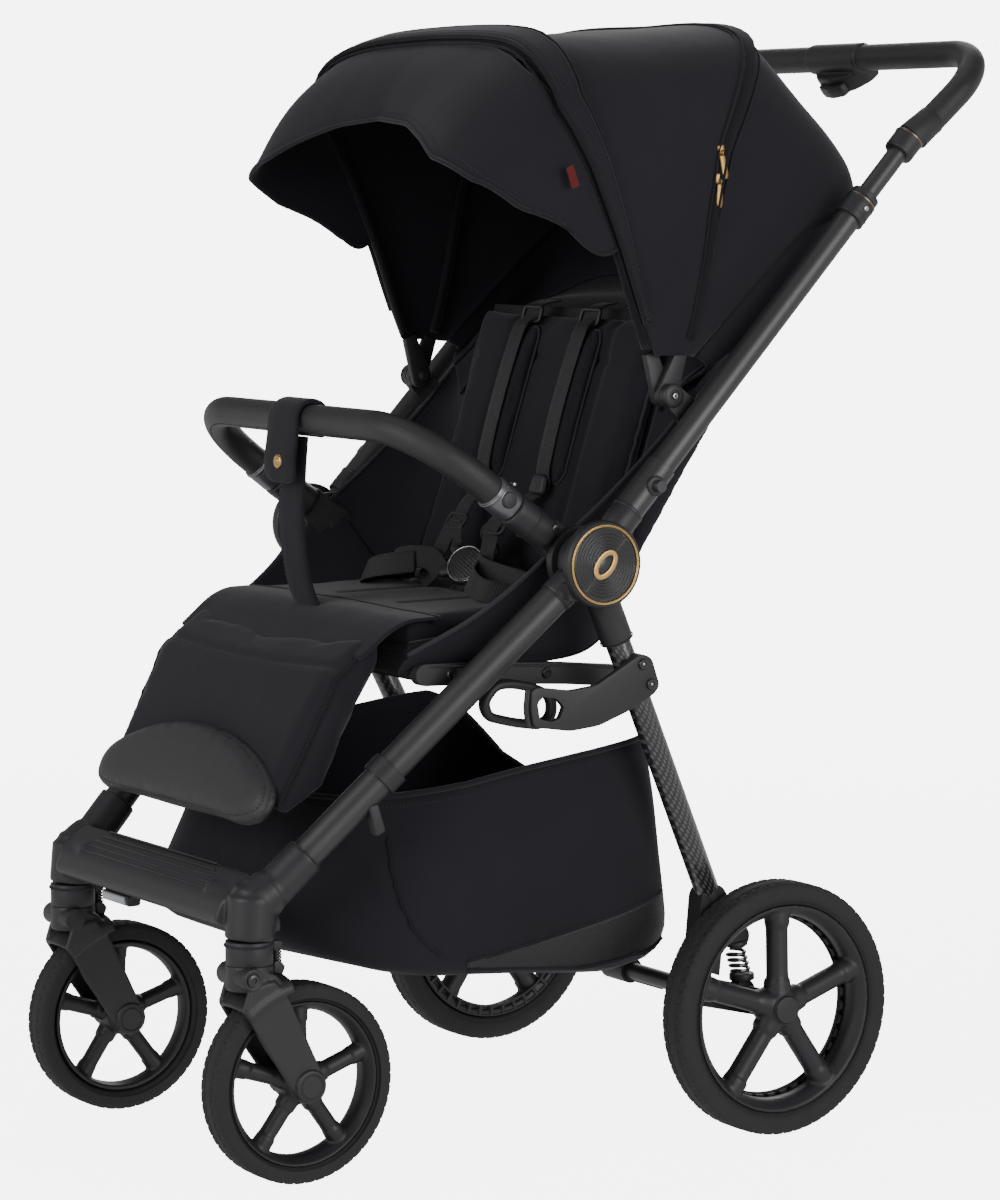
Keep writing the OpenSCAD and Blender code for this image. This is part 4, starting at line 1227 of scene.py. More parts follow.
for s, side in SIDES:
    x = 239 * s
    socket = [rod("a", (x, *polar(HUB, 40, 139)), (x, *polar(HUB, 92, BUMPER_ANGLE)), 16.5, 19, bevel=3),
              rod("b", (231 * s, *HUB), (246 * s, *HUB), 24, bevel=2),
              prism("c", [polar(HUB, 24, 80), polar(HUB, 50, 118), polar(HUB, 50, 158), polar(HUB, 24, 200)],
                    min(231 * s, 246 * s), max(231 * s, 246 * s), 2)]
    place(fused("bumper_socket_" + side, socket, 1.7, 6), "bumper", "plastic",
          ["bumper_ends"] if s > 0 else ())
    collar = joined("bumper_collar_" + side, [
        rod("a", (237.5 * s, *polar(HUB, 92.5, BUMPER_ANGLE)), (237.5 * s, *polar(HUB, 122, BUMPER_ANGLE)),
            17.6, bevel=1.2),
        rod("b", (237.5 * s, *polar(HUB, 117, BUMPER_ANGLE)), (237.5 * s, *polar(HUB, 119.5, BUMPER_ANGLE)),
            18.2, bevel=0.5)])
    place(collar, "bumper", "smoke", auto=40)
    button = rod("bumper_release_" + side, (250 * s, *polar(HUB, 107, BUMPER_ANGLE)),
                 (257 * s, *polar(HUB, 107, BUMPER_ANGLE)), 8.5, bevel=2)
    place(button, "bumper", "plastic", auto=40)
    for name, d, a, r, x0, x1 in (("screw", 46, 132, 4.4, 254, 257.5), ("rivet", 112, 134, 1.8, 246, 254)):
        place(rod(f"bumper_{name}_{side}", (x0 * s, *polar(HUB, d, a)), (x1 * s, *polar(HUB, d, a)), r,
                  bevel=0.8),
              "bumper", "steel" if name == "rivet" else "gloss", auto=40)
    ring_at = polar(HUB, 66, 141.5)
    c = circle_section(0.0182, 40)
    d = np.array([0, math.cos(math.radians(BUMPER_ANGLE)), math.sin(math.radians(BUMPER_ANGLE))])
    up_dir = np.cross(d, [1, 0, 0])
    path = pts([x, *ring_at]) + c[:, :1] * np.array([1, 0, 0]) + c[:, 1:] * up_dir
    place(sweep("bumper_socket_seam_" + side, path, circle_section(0.0005, 6), closed=True), "bumper",
          "plastic")

# stitched seam along the inside of the bumper's leatherette
bar_path = []
for x, d in [(-237, 128), (-237, 134)] + [(-(147 + 90 * math.cos(a)), 134 + 90 * math.sin(a))
                                          for a in np.linspace(0, math.pi / 2, 14)] \
        + [(147 - 90 * math.cos(a), 134 + 90 * math.sin(a))
           for a in np.linspace(math.pi / 2, math.pi, 14)] + [(237, 134), (237, 128)]:
    bar_path.append((x, *polar(HUB, d, BUMPER_ANGLE)))
under = np.array([0, math.sin(math.radians(BUMPER_ANGLE)), -math.cos(math.radians(BUMPER_ANGLE))]) * -0.0162
stitches("bumper_bar_stitches", even(pts(bar_path), 200) + under, "bumper", pitch=4.0, length=2.6, r=0.5)


# ------------------------------------------------------------------ wheels
def tyre_mesh(name, x, centre, r, width, blocks):
    """A pneumatic tyre with two zigzag grooves, blocks between them and sipes on the shoulders."""
    inner, half = r * 0.812, width / 2
    flank = [(inner + 1, half * 0.70), (inner + 3, half * 0.80), (inner + 3.6, half * 0.815),
             (inner + 4.4, half * 0.80), (inner + 6, half * 0.87), (r - 14, half * 0.985)]
    arc = [(r - 9 + 9 * math.sin(a), half * (0.985 - 0.30 * (1 - math.cos(a))))
           for a in np.linspace(0.1, 1.35, 9)]
    tread = [(r - 0.45 * (w / 0.7) ** 2, half * w) for w in np.linspace(0.66, 0, 13)[:-1]]
    side = flank + arc + tread
    profile = np.array(side + [(r, 0.0)] + [(a, -b) for a, b in side[::-1]]
                       + [(inner - 1, -half * 0.3), (inner - 1, half * 0.3)])
    n = blocks * 8
    a = np.arange(n) * 2 * math.pi / n
    share = profile[:, 1] / half
    high = smooth_step((profile[:, 0] - (r - 10)) / 4)
    phase = (np.arange(n) % 8) / 8.0
    step = np.where(phase < 0.5, 0.035, -0.035)[:, None]
    lines = np.zeros((n, len(profile)))
    for where in (0.34, -0.34):
        lines = np.maximum(lines, 1.7 * np.exp(-(((share[None, :] - where - step) / 0.035) ** 2)))
    cut = np.exp(-(((phase[:, None] - 0.5) / 0.09) ** 2)) * 1.3
    block = (np.abs(share) > 0.33) & (np.abs(share) < 0.62)
    lines = np.maximum(lines, cut * block)
    sipe = np.exp(-(((phase[:, None] - 0.0) / 0.07) ** 2)) + np.exp(-(((phase[:, None] - 1.0) / 0.07) ** 2))
    lines = np.maximum(lines,
                       1.1 * sipe * smooth_step((np.abs(share) - 0.6) / 0.05)
                       * smooth_step((0.97 - np.abs(share)) / 0.1))
    lines = np.maximum(lines, 0.9 * np.exp(-(((np.abs(share) - 0.63) / 0.03) ** 2))[None, :])
    radius = profile[None, :, 0] - lines * high[None, :]
    ring = np.stack([np.broadcast_to(profile[None, :, 1] + x, radius.shape),
                     centre[0] + radius * np.cos(a)[:, None], centre[1] + radius * np.sin(a)[:, None]], 2)
    return new_object(name, pts(ring), grid_faces(n, len(profile), True, True))


def rim_mesh(name, x, centre, r, width, hub_half):
    """A five-spoke moulded rim with its flange and hub."""
    outer, deep, w = r * 0.828, r * 0.101, width * 0.36
    flange = revolve("flange",
                     [(outer - 3, -w), (outer - 3, w), (outer, w + 2.2), (outer - 2, w + 3.0),
                      (outer - deep * 0.35, w + 1.4),
                                (outer - deep * 0.8, w * 0.62), (outer - deep, w * 0.25),
                                (outer - deep, -w * 0.3),
                                (outer - deep * 0.8, -w * 0.9), (outer - deep * 0.5, -w), (outer - 3, -w)],
                                (x, *centre), 120)
    pieces = [flange]
    reach = outer - deep * 0.8
    for i in range(5):
        a = 18 + 72 * i
        foot, top = polar(centre, 12, a), polar(centre, reach, a)
        pieces.append(rod("spoke", (x + 4, *foot), (x + 1, *top), r * 0.090, r * 0.086, 24))
        for at, far, ra, rb in ((top, polar(centre, reach - 14, a), r * 0.118, r * 0.084),
                                (foot, polar(centre, 30, a), r * 0.13, r * 0.088)):
            pieces.append(rod("flare", (x + (1 if at is top else 4), *at), (x + 2.5, *far), ra, rb, 24))
    pieces.append(revolve("hub",
                          [(0.01, hub_half), (12, hub_half), (17.5, hub_half - 3), (21, hub_half - 9),
                           (20, -hub_half + 6),
                                  (16, -hub_half), (0.01, -hub_half)], (x, *centre), 48))
    return fused(name, pieces, r * 0.0128, 7, 0.5)


def pockets(name, x, centre, r, width):
    """The ribbed inner face of a rim: a ring of pockets towards the middle of the stroller."""
    n, outer = 40 * 6, r * 0.81
    profile = np.array([(outer - 1, 0), (outer - 2.5, 0), (outer - 3, 0), (outer - 6, 0), (outer - 9, 0),
                        (outer - 12, 0), (outer - 12.5, 0), (outer - 14.5, 0)], float)
    a = np.arange(n) * 2 * math.pi / n
    deep = np.where((np.arange(n) % 6) < 4, 1.0, 0.0)[:, None] * np.array([0, 0, 1, 1, 1, 1, 0, 0])[None, :]
    ring = np.stack([x - width * 0.38 + deep * 5.0,
                     centre[0] + np.broadcast_to(profile[None, :, 0], (n, 8)) * np.cos(a)[:, None],
                     centre[1] + np.broadcast_to(profile[None, :, 0], (n, 8)) * np.sin(a)[:, None]], 2)
    o = new_object(name, pts(ring), grid_faces(n, 8, True))
    modify(o, "SOLIDIFY", thickness=0.0012, offset=0)
    return bake(o)


for kind, x, centre, r, width, blocks, hub_half in (("rear", 279, (262, 133), 132.6, 40, 64, 20.5),
                                                    ("front", FRONT_X, (-262, 101), 100.6, 37, 52, 19.5)):
    wheel = kind + "_wheel_{}"
    pair(tyre_mesh(kind + "_tyre_rubber", x, centre, r, width, blocks), wheel, "tyre", [kind + "_tyre_{}"],
         auto=45)
    pair(rim_mesh(kind + "_rim_moulding", x, centre, r, width, hub_half), wheel, "wheel_plastic",
         [kind + "_rim_{}"])
    if kind == "rear":
        pair(pockets(kind + "_rim_pockets", x, centre, r, width), wheel, "wheel_plastic", auto=30)
    pair(revolve(kind + "_bead", [(r * 0.834 + 0.4 * math.cos(t), width * 0.43 + 0.4 * math.sin(t))
                                  for t in np.linspace(0, 2 * math.pi, 7)], (x, *centre), 120), wheel, "tyre")
cap = [(0.01, 1.4), (11.5, 1.4), (13.6, 0.9), (14.4, -0.2), (14.4, -2), (0.01, -2)]
pair(revolve("rear_wheel_cap", cap, (300.5, 262, 133), 48), "rear_wheel_{}", "plastic", auto=40)
pair(revolve("rear_wheel_cap_ring",
             [(15.2 + 0.7 * math.cos(t), 0.6 * math.sin(t)) for t in np.linspace(0, 2 * math.pi, 9)],
             (299.2, 262, 133), 48), "rear_wheel_{}", "wheel_plastic")

# ------------------------------------------------------------------ front casters
PIVOT, AXLE = (-326, 214), (-262, 101)
BLADE = [(-301, 211), (-284, 190), (-258, 134), (-246, 110)]
BLADE += [polar(AXLE, 17.2, a) for a in range(10, -141, -15)] + [(-311, 142), (-336, 185), (-329, 206)]


def fork():
    """The left front fork: two blades, the saddle over the tyre and the cup of its pivot."""
    x = FRONT_X
    pieces = []
    for s in (-1, 1):
        pieces.append(prism("blade", BLADE, min(x + s * 22, x + s * 27.5), max(x + s * 22, x + s * 27.5),
                            1.6))
    # saddle over the tyre
    wide = 27.5
    angles = np.radians(np.linspace(100, 132, 13))
    section = []
    for t in np.linspace(-1, 1, 17):
        section.append((wide * math.sin(t * math.pi / 2),
                        98 + 14.5 * max(math.cos(t * math.pi / 2), 0) ** 0.6))
    grid = np.array([[(x + u, AXLE[0] + rr * math.cos(a), AXLE[1] + rr * math.sin(a)) for u, rr in section]
                     for a in angles])
    arch = surface("arch", pts(grid).reshape(len(angles), 17, 3), 0.0)
    modify(arch, "SOLIDIFY", thickness=0.0042, offset=0)
    pieces.append(bake(arch))
    pieces.append(rod("cup", (x, PILLAR_Y, 200), (x, PILLAR_Y, 226), 23.8, 23.8, 40, 1.2))
    pieces.append(rod("skirt", (x, PILLAR_Y + 2, 206), (x, PILLAR_Y + 3, 214), 26.5, 24, 40, 2))
    pieces.append(prism("yoke",
                        [(-338, 214), (-322, 226), (-296, 216), (-284, 200), (-300, 196), (-318, 202)],
                        x - 24, x + 24, 3))
    return fused("front_fork_moulding", pieces, 1.45, 5, 0.5)


pair(fork(), "front_fork_{}", "plastic", ["front_fork_{}"])
pair(revolve("front_axle_cap",
             [(0.01, 4.6), (10.8, 4.6), (11.4, 3.8), (12.6, 3.8), (13.4, 4.8), (16, 4.2), (17.2, 2.4),
              (17.2, -4), (0.01, -4)],
             (FRONT_X + 26, *AXLE), 56), "front_fork_{}", "plastic", auto=40)
for o in (bpy.data.objects["front_axle_cap_left"], bpy.data.objects["front_axle_cap_right"]):
    s = 1 if "left" in o.name else -1
    twin = o.copy()
    twin.data = o.data.copy()
    twin.name = o.name + "_inner"
    SCENE.collection.objects.link(twin)
    co = coords(twin)
    set_coords(twin, (co - [FRONT_X / 1000 * s, 0, 0]) * [-1, 1, 1] + [FRONT_X / 1000 * s, 0, 0])
    twin.data.flip_normals()
    place(twin, "front_fork_" + ("left" if s > 0 else "right"), "plastic", auto=40)

pillar_parts = [
    rod("a", (FRONT_X, PILLAR_Y, 225.5), (FRONT_X, PILLAR_Y, 249), 23.6, 23.6, 48, 0.8),
    rod("b", (FRONT_X, PILLAR_Y, 216), (FRONT_X, PILLAR_Y, 230), 21, 21, 48, 0.5),
    rod("c", (164.5, *PIVOT), (219.5, *PIVOT), 11.5, 11.5, 32, 1.0),
    rod("d", (FRONT_X, PILLAR_Y, 249), (FRONT_X, PILLAR_Y, 275), 8, 8, 24, 0.5),
]
pair(joined("front_swivel_pillar", pillar_parts), "front_swivel_{}", "plastic", ["front_swivel_{}"], auto=40)
turns = np.linspace(0, 2 * math.pi, 289)
rope = []
for phase in (0, math.pi):
    line = pts(np.stack([FRONT_X + (24.0 + 0.7 * np.cos(turns * 36 + phase)) * np.cos(turns),
                         PILLAR_Y + (24.0 + 0.7 * np.cos(turns * 36 + phase)) * np.sin(turns),
                         244.6 + 0.9 * np.sin(turns * 36 + phase)], 1))[:-1]
    rope.append(sweep("strand", line, circle_section(0.0007, 5), closed=True))
pair(joined("front_swivel_rope", rope), "front_swivel_{}", "piping")
pair(revolve("front_swivel_bolt",
             [(0.01, 1.0), (2.6, 1.0), (2.9, 2.6), (5.2, 2.6), (6.4, 1.8), (6.6, -2), (0.01, -2)],
             (219.5, *PIVOT), 32), "front_swivel_{}", "gloss", auto=40)
pair(revolve("front_swivel_boss", [(7.2, 0.2), (9.4, 0.9), (10.8, 0.4), (11.4, -1), (7.2, -1)],
             (219.8, *PIVOT), 40),
     "front_swivel_{}", "plastic", auto=40)
buffer_parts = [
    prism("a", rounded([(-291, 236), (-282, 238), (-280, 245), (-291, 247)], 2, 3), 186, 198, 1),
    prism("b", rounded([(-291, 214), (-281, 212), (-278, 220), (-284, 227), (-291, 226)], 2, 3), 185, 199, 1),
    rod("c", (FRONT_X, -285, 224), (FRONT_X, -285, 238), 3.6, 3.6, 20, 0.5),
]
pair(joined("front_buffer", buffer_parts), "front_swivel_{}", "plastic", auto=40)
coil_t = np.linspace(0, 1, 90)
coil_line = pts(np.stack([FRONT_X + 5 * np.cos(coil_t * 26), -285 + 5 * np.sin(coil_t * 26),
                          225 + coil_t * 12], 1))
pair(sweep("front_buffer_spring", coil_line, circle_section(0.0008, 6)), "front_swivel_{}", "spring")

# ------------------------------------------------------------------ footrest
tread_line = rounded([(-345, 268), (-337, 288), (-322, 302), (-306, 314), (-297, 306), (-308, 288),
                      (-322, 264), (-334, 260)], 6, 4)
parts = [prism("tread", tread_line, -178, 178, 4)]
for s in (1, -1):
    leg = np.array([TUBE_X * s, 33, HUB_Z])
    foot_at = np.array([FRONT_X * s, -300, 287])
    d = (leg - foot_at) / np.linalg.norm(leg - foot_at)
    parts += [
        rod("sleeve", foot_at - d * 6, foot_at + d * 62, 21.5, 19.2, 40, 0.6),
        rod("pillar", (FRONT_X * s, PILLAR_Y, 249.4), (FRONT_X * s, PILLAR_Y + 4, 292), 24.2, 25, 40, 1.5),
        rod("top", (FRONT_X * s, PILLAR_Y + 3, 258), (FRONT_X * s, PILLAR_Y + 8, 304), 24.4, 22.5, 40, 11),
        rod("shoulder", (FRONT_X * s, -309, 286), foot_at + d * 18, 25, 21, 40, 6),
        rod("arm", (126 * s, -322, 287), (190 * s, -312, 286), 9, 22.5, 40, 8),
        prism("lug", rounded([(-292, 258), (-283, 254), (-283, 266), (-292, 284)], 2, 3),
              min(184 * s, 200 * s), max(184 * s, 200 * s), 1),
        prism("lug2", rounded([(-292, 270), (-279, 274), (-279, 277), (-292, 276)], 1, 3),
              min(186 * s, 198 * s), max(186 * s, 198 * s), 0.8),
    ]
    pairs = circle_section(0.0195, 40)
    u = np.cross(d, [0, 0, 1])
    u /= np.linalg.norm(u)
    path = pts(foot_at + d * 61.5) + pairs[:, :1] * u + pairs[:, 1:] * np.cross(d, u)
    place(sweep("footrest_seam_" + ("left" if s > 0 else "right"), path, circle_section(0.0006, 6),
                closed=True),
          "chassis", "plastic")
place(fused("footrest_moulding", parts, 1.9, 6, 0.55), "chassis", "plastic", ["footrest"])
for i in range(5):
    y, z = mix(-331, -309, i / 4), mix(293.6, 313.2, i / 4)
    place(rod(f"footrest_rib_{i}", (-140 + 6 * i, y, z), (140 - 6 * i, y, z), 1.1, 1.1, 8, 0.4), "chassis",
          "plastic")
holder = prism("reflector_holder", rounded([(-338, 261), (-320, 262), (-322, 250), (-336, 250)], 2, 3), -80,
               -24, 1.5)
place(holder, "chassis", "plastic")
lens = prism("reflector_lens", rounded([(-340, 259.5), (-328, 261), (-326, 252), (-338, 251)], 1.2, 3), -77,
             -28, 1.0)
place(lens, "chassis", "clear", ["reflector"])


# ------------------------------------------------------------------ folding hubs
def ribbed_disc(x, r_in, r_out, pitch=3.5, height=1.2):
    """A disc of fine ribs in two half turns that meet along a slanting line."""
    n, m = 216, 74
    a = np.arange(n) * 2 * math.pi / n
    r = np.linspace(r_in, r_out, m)
    u, v = np.cos(a)[:, None] * r, np.sin(a)[:, None] * r
    slant = math.radians(47)
    side = -u * math.sin(slant) + v * math.cos(slant)
    along_line = u * math.cos(slant) + v * math.sin(slant)
    shift = np.tanh(side / 3.2) * pitch * 0.75
    away = np.hypot(along_line - shift, side)
    up = height * (0.5 + 0.5
                   * np.cos(2 * math.pi
                            * away / pitch)) * smooth_step((r - r_in) / 1.5) * smooth_step((r_out - r) / 1.0)
    up = up - 0.8 * np.exp(-(side / 0.35) ** 2)
    grid = np.stack([x + up, HUB[0] + u, HUB[1] + v], 2)
    return new_object("hub_ribs", pts(grid), grid_faces(n, m, close_rows=True))


pair(revolve("hub_drum",
             [(0.01, 285.9), (41, 285.9), (43.2, 287), (44, 289.5), (44, 295), (43.2, 298.2), (41.6, 299.4),
              (40.9, 299.2),
                          (40.7, 298.4), (0.01, 298.4)], (0, *HUB), 128), "chassis", "plastic", auto=50)
pair(ribbed_disc(299.0, 9.5, 36.6), "chassis", "gloss", ["hub_covers"])
pair(revolve("hub_ring_band",
             [(37.6, 298.2), (37.7, 299.8), (38.2, 300.2), (38.8, 299.9), (39.2, 299.5), (39.7, 300.0),
              (40.2, 299.8), (40.4, 298.2)],
             (0, *HUB), 128), "chassis", "gold", ["hub_rings"], auto=60)
pair(revolve("hub_badge_base", [(0.01, 299.4), (9.0, 299.4), (10.2, 298.8), (10.2, 297), (0.01, 297)],
             (0, *HUB), 48), "chassis", "gloss", auto=40)
# plain ornament: an open lens-shaped ring along the slanting line
lens_line = []
for a in np.linspace(0, 2 * math.pi, 73)[:-1]:
    u, v = 14.5 * math.cos(a), 8.4 * math.sin(a)
    s, c = math.sin(math.radians(47)), math.cos(math.radians(47))
    lens_line.append((300.1, HUB[0] + u * c - v * s, HUB[1] + u * s + v * c))
pair(sweep("hub_ornament", pts(lens_line), strap_section(0.0058, 0.0014, 4)[:, ::-1], side=(1, 0, 0),
           closed=True), "chassis", "gold")

# moulded sleeves where the tubes enter the hubs
LEG_TOP = np.array([TUBE_X, *HUB], float)
leg_dir = (np.array(FOOT, float) - LEG_TOP) / np.linalg.norm(np.array(FOOT, float) - LEG_TOP)
up_dir = np.array([0, math.cos(math.radians(TUBE_ANGLE)), math.sin(math.radians(TUBE_ANGLE))])
rear_top, rear_foot = np.array([270, 55.7, 555.4]), np.array([245, 206, 238.0])
rear_dir = (rear_foot - rear_top) / np.linalg.norm(rear_foot - rear_top)


def seam_ring(name, centre, direction, r, where):
    """A fine ring round a tube, where two mouldings meet."""
    u = np.cross(direction, [0.2, 0.5, 0.81])
    u /= np.linalg.norm(u)
    c = circle_section(r / 1000, 40)
    path = pts(centre) + c[:, :1] * u + c[:, 1:] * np.cross(direction, u)
    return pair(sweep(name, path, circle_section(0.00055, 6), closed=True), where, "plastic")


leg_parts = [rod("a", LEG_TOP + leg_dir * 26, LEG_TOP + leg_dir * 50.5, 17.8, 17.5, 48, 0.8),
             rod("b", LEG_TOP + leg_dir * 14 + [8, 0, 0], LEG_TOP + leg_dir * 40 + [2, 0, 0], 15, 16.5, 48,
                 4)]
pair(fused("hub_leg_sleeve", leg_parts, 1.8, 6), "chassis", "plastic")
seam_ring("hub_leg_seam", LEG_TOP + leg_dir * 50.8, leg_dir, 17.2, "chassis")
pair(rod("hub_upper_sleeve", LEG_TOP + up_dir * 42, LEG_TOP + up_dir * 70, 16.8, 16.4, 48, 0.8),
     "upper_frame", "plastic",
     auto=40)
pair(rod("tube_flat", LEG_TOP + up_dir * 66, LEG_TOP + up_dir * 69.5, 16.9, 16.9, 48, 0.6), "upper_frame",
     "plastic", auto=40)
rear_parts = [rod("a", rear_top - rear_dir * 44, rear_top + rear_dir * 30, 16.4, 17.0, 48, 1.0),
              rod("b", rear_top - rear_dir * 30 + [8, 0, 0], rear_top + rear_dir * 4 + [2, 0, 0], 14, 15, 48,
                  3)]
pair(fused("rear_leg_sleeve", rear_parts, 1.7, 4), "rear_frame", "plastic", ["rear_sleeves"])
pair(rod("rear_leg_tube", rear_top + rear_dir * 24, rear_foot - rear_dir * 22, 12.9, 12.9, 48, 0.5),
     "rear_frame", "carbon",
     ["rear_legs"], auto=40)
pair(rod("rear_leg_end", rear_foot - rear_dir * 24, rear_foot, 11.6, 11.6, 40, 0.5), "rear_frame", "plastic",
     auto=40)
seam_ring("rear_leg_seam", rear_top + rear_dir * 28.5, rear_dir, 17.2, "rear_frame")

# stud, with its socket head, on the upper tube, and screws
stud = polar(HUB, 103, TUBE_ANGLE)
pair(revolve("stud_boss",
             [(0.01, 12.0), (9.6, 12.0), (10.4, 13), (10.4, 16.5), (9.4, 17.3), (6.1, 17.4), (6.1, 25),
              (5.4, 25.8),
                           (2.6, 25.8), (2.4, 24), (0.01, 24)], (TUBE_X, *stud), 40), "upper_frame",
                           "plastic", auto=45)
pair(rod("stud_screw", (293.6, *stud), (294.6, *stud), 2.3, 2.3, 16, 0.3), "upper_frame", "steel", auto=40)
for name, (y, z) in (("upper", (86, 505)), ("lower", (96, 484))):
    pair(revolve("hook_screw_" + name,
                 [(0.01, 1.0), (2.2, 1.0), (2.5, 2.4), (4.8, 2.4), (5.6, 1.6), (5.8, 0), (5.8, -2),
                  (0.01, -2)],
                 (289.8, y, z), 32), "rear_frame", "gloss", auto=40)
    pair(rod("hook_screw_pin_" + name, (290.4, y, z), (291.6, y, z), 1.7, 1.7, 12, 0.3), "rear_frame",
         "steel", auto=40)

# hook plates, with the opening at their front end
plate = prism("hook_plate",
              rounded([(-48, 468), (-47, 487), (-40, 490), (-1, 484), (29, 487), (60, 503), (84, 516),
                       (97, 511), (107, 482),
                                     (101, 474), (68, 458), (33, 446), (-1, 443), (-45, 450)], 6, 5), 282.5,
                                     289.2, 1.0)
opening = prism("opening",
                rounded([(-41, 474), (-34, 480), (-18, 477), (-9, 468), (-14, 457), (-24, 454), (-38, 458)],
                        3, 4), 270, 300, 0)
modify(plate, "BOOLEAN", object=opening, operation="DIFFERENCE")
bake(plate)
bpy.data.objects.remove(opening)
pair(plate, "rear_frame", "plastic", ["hook_plates"], auto=35)
pair(prism("hook_root", rounded([(62, 492), (80, 517), (96, 512), (108, 482), (96, 470), (76, 474)], 7, 4),
           268, 283, 1.5), "rear_frame", "plastic")
pair(sweep("hook_lip", pts([(283, y, z) for y, z in curve([(-47, 450), (-50, 468), (-48, 488)], 20)]),
           circle_section(0.0032, 8)),
     "rear_frame", "plastic")
# carrying loops: a soft D that hangs from the seat rail
loop_line = pts([(227, y, z) for y,
                 z in rounded([(-52, 486), (-66, 470), (-60, 455), (-30, 447), (2, 442), (16, 450), (16, 470),
                               (-6, 481),
                                                  (-34, 487)], 12, 8)])
loop_line = even(np.vstack([loop_line, loop_line[:1]]), 121)[:-1]
loop_section = strap_section(0.014, 0.0095, 6)
pair(sweep("carry_loop_moulding", loop_line, loop_section, side=(1, 0, 0), closed=True), "chassis", "plastic",
     ["carry_loop"])
# details of the seat rails
for name, at in (("front", (-96, 499)), ("rear", (18, 493))):
    pair(revolve("rail_screw_" + name,
                 [(0.01, 0.8), (2.2, 0.8), (2.6, 2.2), (5.0, 2.2), (5.8, 1.2), (6, -1), (0.01, -1)],
                 (216.5, *at), 32),
         "chassis", "gloss", auto=40)
pair(sweep("rail_edge", pts([(216.2, y, z) for y, z in ((-120, 508), (-60, 506), (40, 499), (98, 493))]),
           circle_section(0.0011, 6)),
     "chassis", "plastic")

# ------------------------------------------------------------------ harness and buckle
BUCKLE = np.array([0, 60, 581.0])
face = np.array([0.40, -0.76, 0.50])
face /= np.linalg.norm(face)
rise = np.array([0, 0, 1.0]) - face * face[2]
rise /= np.linalg.norm(rise)
beside = np.cross(rise, face)


def on_buckle(u, v, w=0.0):
    """Point u across, v up and w out of the buckle's face, in millimetres."""
    return tuple(BUCKLE + beside * u + rise * v + face * w)


def facing(o, centre):
    """Turns a mesh made about the X axis to face out of the buckle."""
    set_coords(o, coords(o) - [0, Y0, 0])
    return oriented(o, pts(centre)[0], face, beside)


shell = revolve("buckle_shell",
                [(0.01, 7.4), (19, 7.4), (21.5, 6.6), (22.6, 4.6), (22.6, -4), (20.5, -6.4), (0.01, -6.4)],
                (0, 0, 0), 64)
facing(shell, on_buckle(0, 0))
place(shell, "upper_frame", "plastic", ["buckle"], auto=40)
ring_o = revolve("buckle_ring", [(19.6, 6.9), (19.8, 8.4), (20.6, 8.7), (21.2, 8.1), (21.4, 6.9)], (0, 0, 0),
                 72)
facing(ring_o, on_buckle(0, 0))
place(ring_o, "upper_frame", "steel", auto=50)
n, m = 96, 30
a = np.arange(n) * 2 * math.pi / n
r = np.linspace(0.3, 19.0, m)
u, v = np.cos(a)[:, None] * r, np.sin(a)[:, None] * r
stripe = np.abs(((u * 0.55 + v * 0.83) / 3.4) % 1.0 - 0.5) * 2
high = 8.0 + 0.9 * (1 - (r / 19.0) ** 2) + 0.5 * smooth_step((stripe - 0.35) / 0.3) * (r < 18)
button_face = new_object("buckle_face", pts(np.stack([high, u, v], 2)), grid_faces(n, m, close_rows=True))
facing(button_face, on_buckle(0, 0))
place(button_face, "buckle_button", "gloss", ["buckle_button"])
for s, side in SIDES:
    for name, u0, v0, u1, v1, w in (("top", 13, 12, 25, 24, 11), ("side", 18, -4, 33, -8, 12)):
        lug = rod(f"buckle_{name}_{side}", on_buckle(u0 * s, v0), on_buckle(u1 * s, v1), w * 0.62, w * 0.5,
                  20, 2.5)
        co = coords(lug)
        c = pts(on_buckle(u0 * s, v0))[0]
        out = (co - c) @ face
        set_coords(lug, co - np.outer(out * 0.45, face))
        place(lug, "upper_frame", "plastic", auto=40)
tongue = sweep("buckle_tongue", pts([on_buckle(0, -14), on_buckle(0, -26), (0, 58, 556), (0, 54, 546)]),
               strap_section(0.026, 0.004, 5), side=(1, 0, 0))
place(tongue, "upper_frame", "plastic", auto=45)


def strap(name, points, where, width=25, thick=1.6, side=(1, 0, 0)):
    """A webbing strap through points in millimetres, its width along `side`."""
    line = curve(pts(points), 70)
    return place(sweep(name, line, strap_section(width / 1000, thick / 1000, 4), side=side), where, "webbing")


